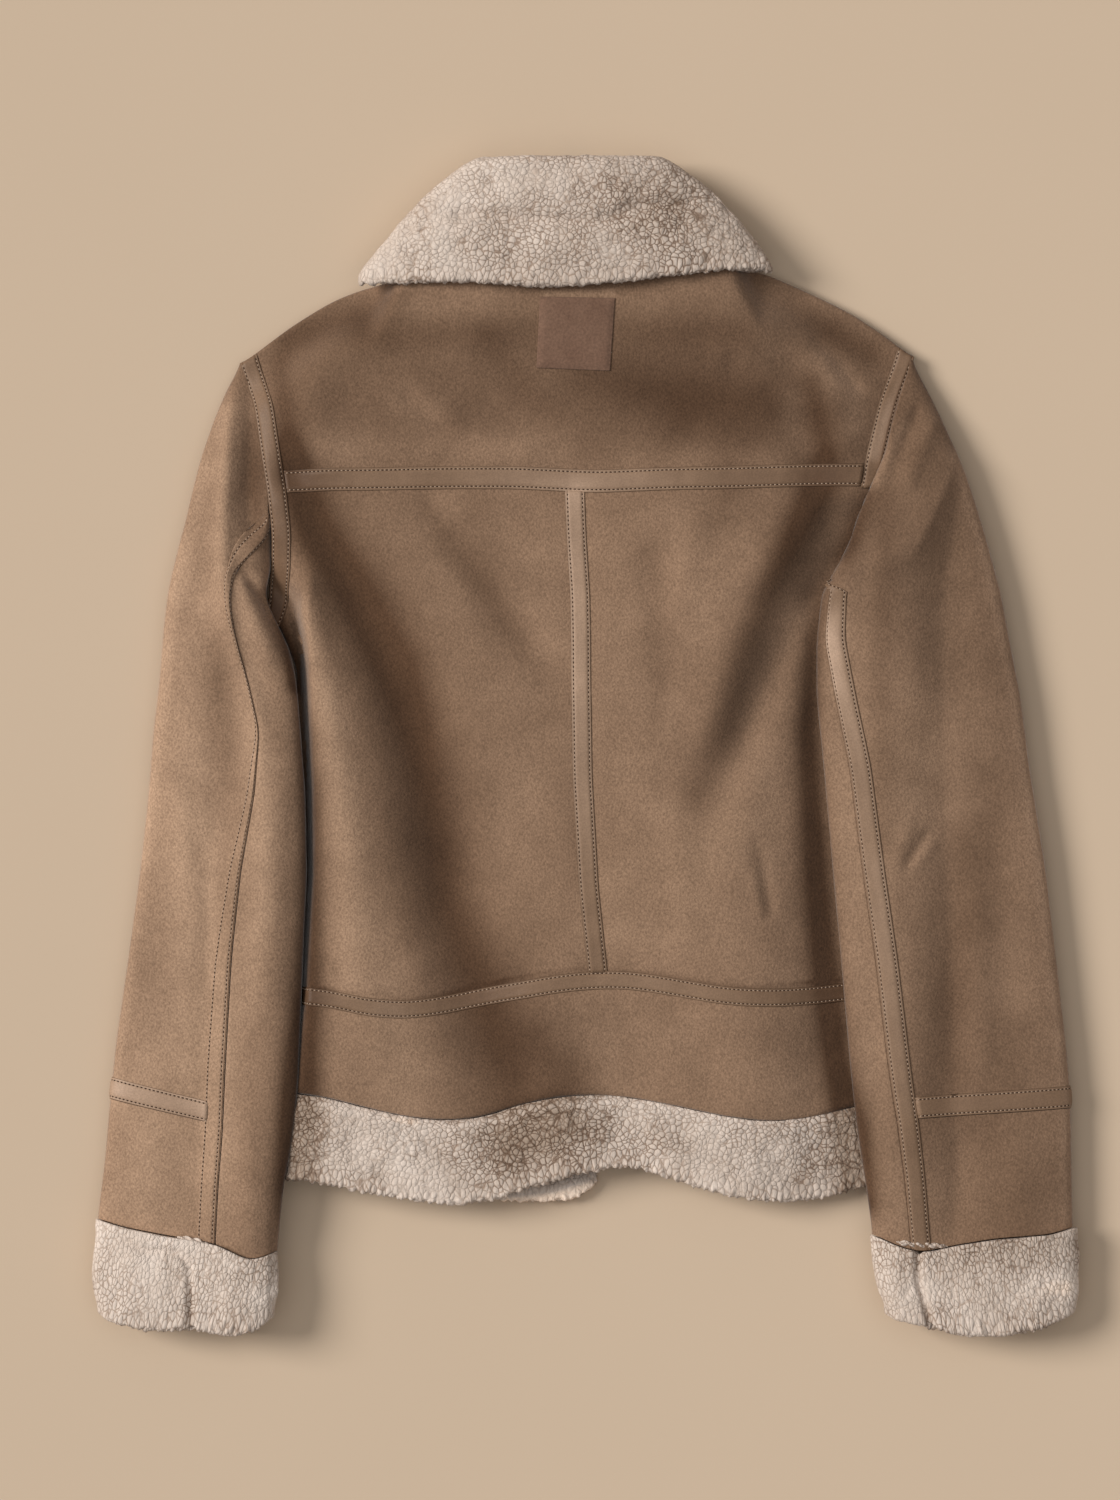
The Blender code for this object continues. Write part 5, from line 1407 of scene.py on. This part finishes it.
def pile_finish():
    """Cream pile: matted curls of two sizes, thin cracks between them painted dark as shade, and painted
    light and shade from its points' values.
    """
    finish = Finish("cream_pile", 1.0, sheen=0.12, specular=0.08)
    finish.place = finish.add("ShaderNodeAttribute", attribute_name="curl_place").outputs["Vector"]
    finish.place = finish.bent(60.0, 0.005)
    finish.place = finish.bent(240.0, 0.0016)
    # The points' painted light and shade, with some nap tone
    nap = finish.attribute("nap")
    # Painted shade in the cracks between curls and clumps, from here to the shade ramp below
    deep = finish.times(finish.ramp(finish.noise(26.0), (0.4, 0.45), (0.6, 1.0)),
                        finish.ramp(nap, (0.3, 1.0), (0.5, 0.8), (0.7, 0.5)))
    border = finish.ramp(finish.cracks(CURL_SCALE), (0.0, 0.0), (0.05, 0.35), (0.12, 0.85), (0.22, 1.0))
    round_top = finish.ramp(finish.cracks(CURL_SCALE, "F1"),
                            (0.0, 1.0), (0.3, 0.88), (0.5, 0.55), (0.72, 0.0))
    clump = finish.ramp(finish.cracks(CLUMP_SCALE), (0.0, 0.12), (0.045, 0.5), (0.1, 1.0))
    some = finish.mix(1.0, finish.ramp(finish.noise(33.0, 2.0), (0.44, 0.0), (0.64, 0.5)),
                      finish.ramp(nap, (0.22, 0.85), (0.36, 0.5), (0.46, 0.06), (0.56, 0.0)), "LIGHTEN")
    painted_crack_shade = finish.times(finish.mix(deep, WHITE, border), finish.mix(some, WHITE, clump))
    tone = finish.ramp(finish.noise(40.0), (0.3, 0.59, 0.483, 0.406), (0.7, 0.69, 0.581, 0.502))
    shade = finish.ramp(painted_crack_shade, (0.0, 0.26, 0.2, 0.16), (0.4, 0.6, 0.53, 0.48),
                        (0.8, 0.95, 0.94, 0.93), (1.0, 1.04))
    fine = finish.ramp(finish.noise(1500.0, 2.0), (0.3, 0.88), (0.7, 1.08))
    painted_light_shade_and_nap = finish.ramp(nap, (0.0, 0.6, 0.55, 0.5), (0.5, 1.0),
                          (0.8, 1.15, 1.16, 1.17), (1.0, 1.6, 1.54, 1.46))
    normal = finish.bump(finish.noise(1300.0, 2.0), 0.0005, 0.5)
    normal = finish.bump(round_top, 0.0008, 0.55, normal)
    normal = finish.bump(border, 0.0003, 0.5, normal)
    return finish.finish(finish.times(tone, shade, fine, painted_light_shade_and_nap), normal)


def patch_finish():
    """The patch's suede: redder than the yoke, and cut from a finer skin."""
    finish = Finish("patch_suede", 0.9, sheen=0.2, specular=0.2)
    broad = finish.ramp(finish.noise(60.0), (0.3, 0.16, 0.088, 0.057), (0.7, 0.2, 0.114, 0.075))
    nap = finish.ramp(finish.noise(600.0), (0.35, 0.84), (0.65, 1.12))
    return finish.finish(finish.times(broad, nap), finish.bump(finish.noise(700.0), 0.0005, 0.5))


FINISHES = {
    "suede": (suede_finish(), "suede"),
    "tape": (tape_finish(), "tape"),
    "pile": (pile_finish(), "pile"),
    "patch": (patch_finish(), "patch"),
    "thread": (thread_finish("pale_thread", (0.38, 0.272, 0.196), (0.48, 0.354, 0.262)), "tape"),
    # Near-black marks of painted shade for the needle holes
    "hole": (thread_finish("needle_hole_painted_shade", (0.05, 0.028, 0.018), (0.07, 0.04, 0.026)), "tape"),
    "napped": (suede_finish("napped_tape"), "tape"),
}
SEWN = {"thread": model_stitch(STITCH_SIZE, 0.2, 0.3), "hole": model_stitch(HOLE_SIZE, 0.12, 0.1)}


# ------------------------------------------------------------------ camera, light and floor
def add_sun(name, energy, angle, direction, colour=(1.0, 1.0, 1.0)):
    light = bpy.data.lights.new(name, "SUN")
    light.energy = energy
    light.angle = math.radians(angle)
    light.color = colour
    add_object(name, light).rotation_euler = Vector(direction).to_track_quat("Z", "Y").to_euler()


CAMERA_PLACE = (-0.0165, -0.0041, 4.02)
LENS = 150.0                    # in millimetres, over a sensor 36 high


def build_studio():
    floor_mesh = bpy.data.meshes.new("floor")
    floor_mesh.from_pydata([(-6, -6, 0), (6, -6, 0), (6, 6, 0), (-6, 6, 0)], [], [(0, 1, 2, 3)])
    finish = Finish("plain_floor", 0.95, specular=0.1)
    tone = finish.ramp(finish.noise(3.0, 2.0), (0.3, 0.60, 0.465, 0.34), (0.7, 0.61, 0.473, 0.347))
    floor_mesh.materials.append(finish.finish(tone, finish.bump(finish.noise(500.0, 2.0), 0.0001, 0.2)))
    add_object("floor", floor_mesh)

    lens = bpy.data.cameras.new("camera")
    lens.sensor_fit = "VERTICAL"
    lens.sensor_height = 36.0
    lens.lens = LENS
    camera = add_object("camera", lens)
    camera.location = CAMERA_PLACE
    scene = bpy.context.scene
    scene.camera = camera

    add_sun("soft_sun", 2.85, 25.0, (-0.90, 0.26, 0.70), (1.0, 0.985, 0.96))
    add_sun("overhead_fill", 0.72, 70.0, (0.0, 0.0, 1.0))

    world = bpy.data.worlds.new("studio")
    world.use_nodes = True
    background = world.node_tree.nodes["Background"]
    background.inputs["Color"].default_value = (1.0, 0.985, 0.965, 1.0)
    background.inputs["Strength"].default_value = 0.2
    scene.world = world
    scene.view_settings.view_transform = "Standard"


# ------------------------------------------------------------------ all of it
# A piece stands for the CAD node with its name, less the last word, apart from these
OTHER_NODES = {"hem_band_suede": "back_hem_band", "hem_trim_pile": "back_hem_trim"}

# The cloth that shows of each piece, cut flat: width and length, area, and what it lies on
BODY_UNDER = ("front_left_suede", "front_right_suede")
SHEETS = {
    "back_yoke_suede": ((0.44, 0.14), 0.0525, BODY_UNDER),
    "back_left_suede": ((0.22, 0.345), 0.069, BODY_UNDER[:1]),
    "back_right_suede": ((0.205, 0.34), 0.062, BODY_UNDER[1:]),
    "hem_band_suede": ((0.395, 0.092), 0.0302, BODY_UNDER),
    "hem_trim_pile": ((0.395, 0.058), 0.0222, ("front_trim_left_pile", "front_trim_right_pile")),
    "front_left_suede": ((0.23, 0.53), 0.106, ()),
    "front_right_suede": ((0.205, 0.535), 0.0945, ()),
    "front_trim_left_pile": ((0.21, 0.066), 0.0118, ()),
    "front_trim_right_pile": ((0.18, 0.042), 0.0068, ()),
    "yoke_strap_tape": ((0.375, 0.0145), None, ("back_yoke_suede", "back_left_suede", "back_right_suede")),
    "waist_strap_tape": ((0.39, 0.0125), None, ("hem_band_suede", "back_left_suede", "back_right_suede")),
    "centre_strap_tape": ((0.0125, 0.31), None, ("back_left_suede", "back_right_suede")),
    "armhole_tape_l_tape": ((0.0125, 0.186), None, ("back_yoke_suede", "back_left_suede")),
    "armhole_tape_r_tape": ((0.0125, 0.094), None, ("back_yoke_suede", "back_right_suede")),
    "blank_patch_suede": ((0.05, 0.047), None, ("back_yoke_suede",)),
    "sleeve_outer_l_suede": ((0.115, 0.49), 0.0522, ("sleeve_under_l_suede",)),
    "sleeve_lower_l_suede": ((0.125, 0.095), 0.0111, ("sleeve_under_l_suede",)),
    "sleeve_under_l_suede": ((0.1, 0.48), 0.0435, ("back_left_suede",)),
    "seam_tape_l_tape": ((0.011, 0.47), 0.0042, ("sleeve_under_l_suede",)),
    "cross_tape_l_tape": ((0.135, 0.0135), None, ("sleeve_outer_l_suede", "sleeve_lower_l_suede")),
    "cuff_l_pile": ((0.27, 0.055), None, ()),
    "sleeve_outer_r_suede": ((0.17, 0.49), 0.08, ("sleeve_under_r_suede",)),
    "sleeve_lower_r_suede": ((0.165, 0.093), 0.0148, ("sleeve_under_r_suede",)),
    "sleeve_under_r_suede": ((0.09, 0.475), 0.0398, ("back_right_suede",)),
    "seam_tape_r_tape": ((0.0145, 0.475), None, ("sleeve_under_r_suede",)),
    "cross_tape_r_tape": ((0.19, 0.014), None, ("sleeve_outer_r_suede", "sleeve_lower_r_suede")),
    "cuff_r_pile": ((0.285, 0.056), None, ()),
    "collar_pile": ((0.56, 0.14), 0.058, ("back_yoke_suede",)),
}


def declare_sheets():
    """Gather the stitches, the dark marks of painted shade at their holes, and the cuff tab that go with each
    piece of cloth; nothing more is done with them.
    """
    for name, (flat, area, under) in SHEETS.items():
        sewn_on = [name[:-5] + "_stitches", name[:-5] + "_holes", name.replace("cuff", "cuff_tab")]
        sewn_on = [PANELS[part] for part in sewn_on if part in PANELS and part != name]


def main():
    build_studio()
    build_back()
    build_straps()
    build_armhole_tapes()
    build_patch()
    build_fronts()
    build_hem_trims()
    for key in SLEEVES:
        build_sleeve(key)
        build_cuff(key)
        build_cuff_tab(key)
    build_collar()
    for name, piece in PANELS.items():
        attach(piece, "root")
        if name in SHEETS:
            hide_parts(OTHER_NODES.get(name, name.rsplit("_", 1)[0]))
    declare_sheets()


main()
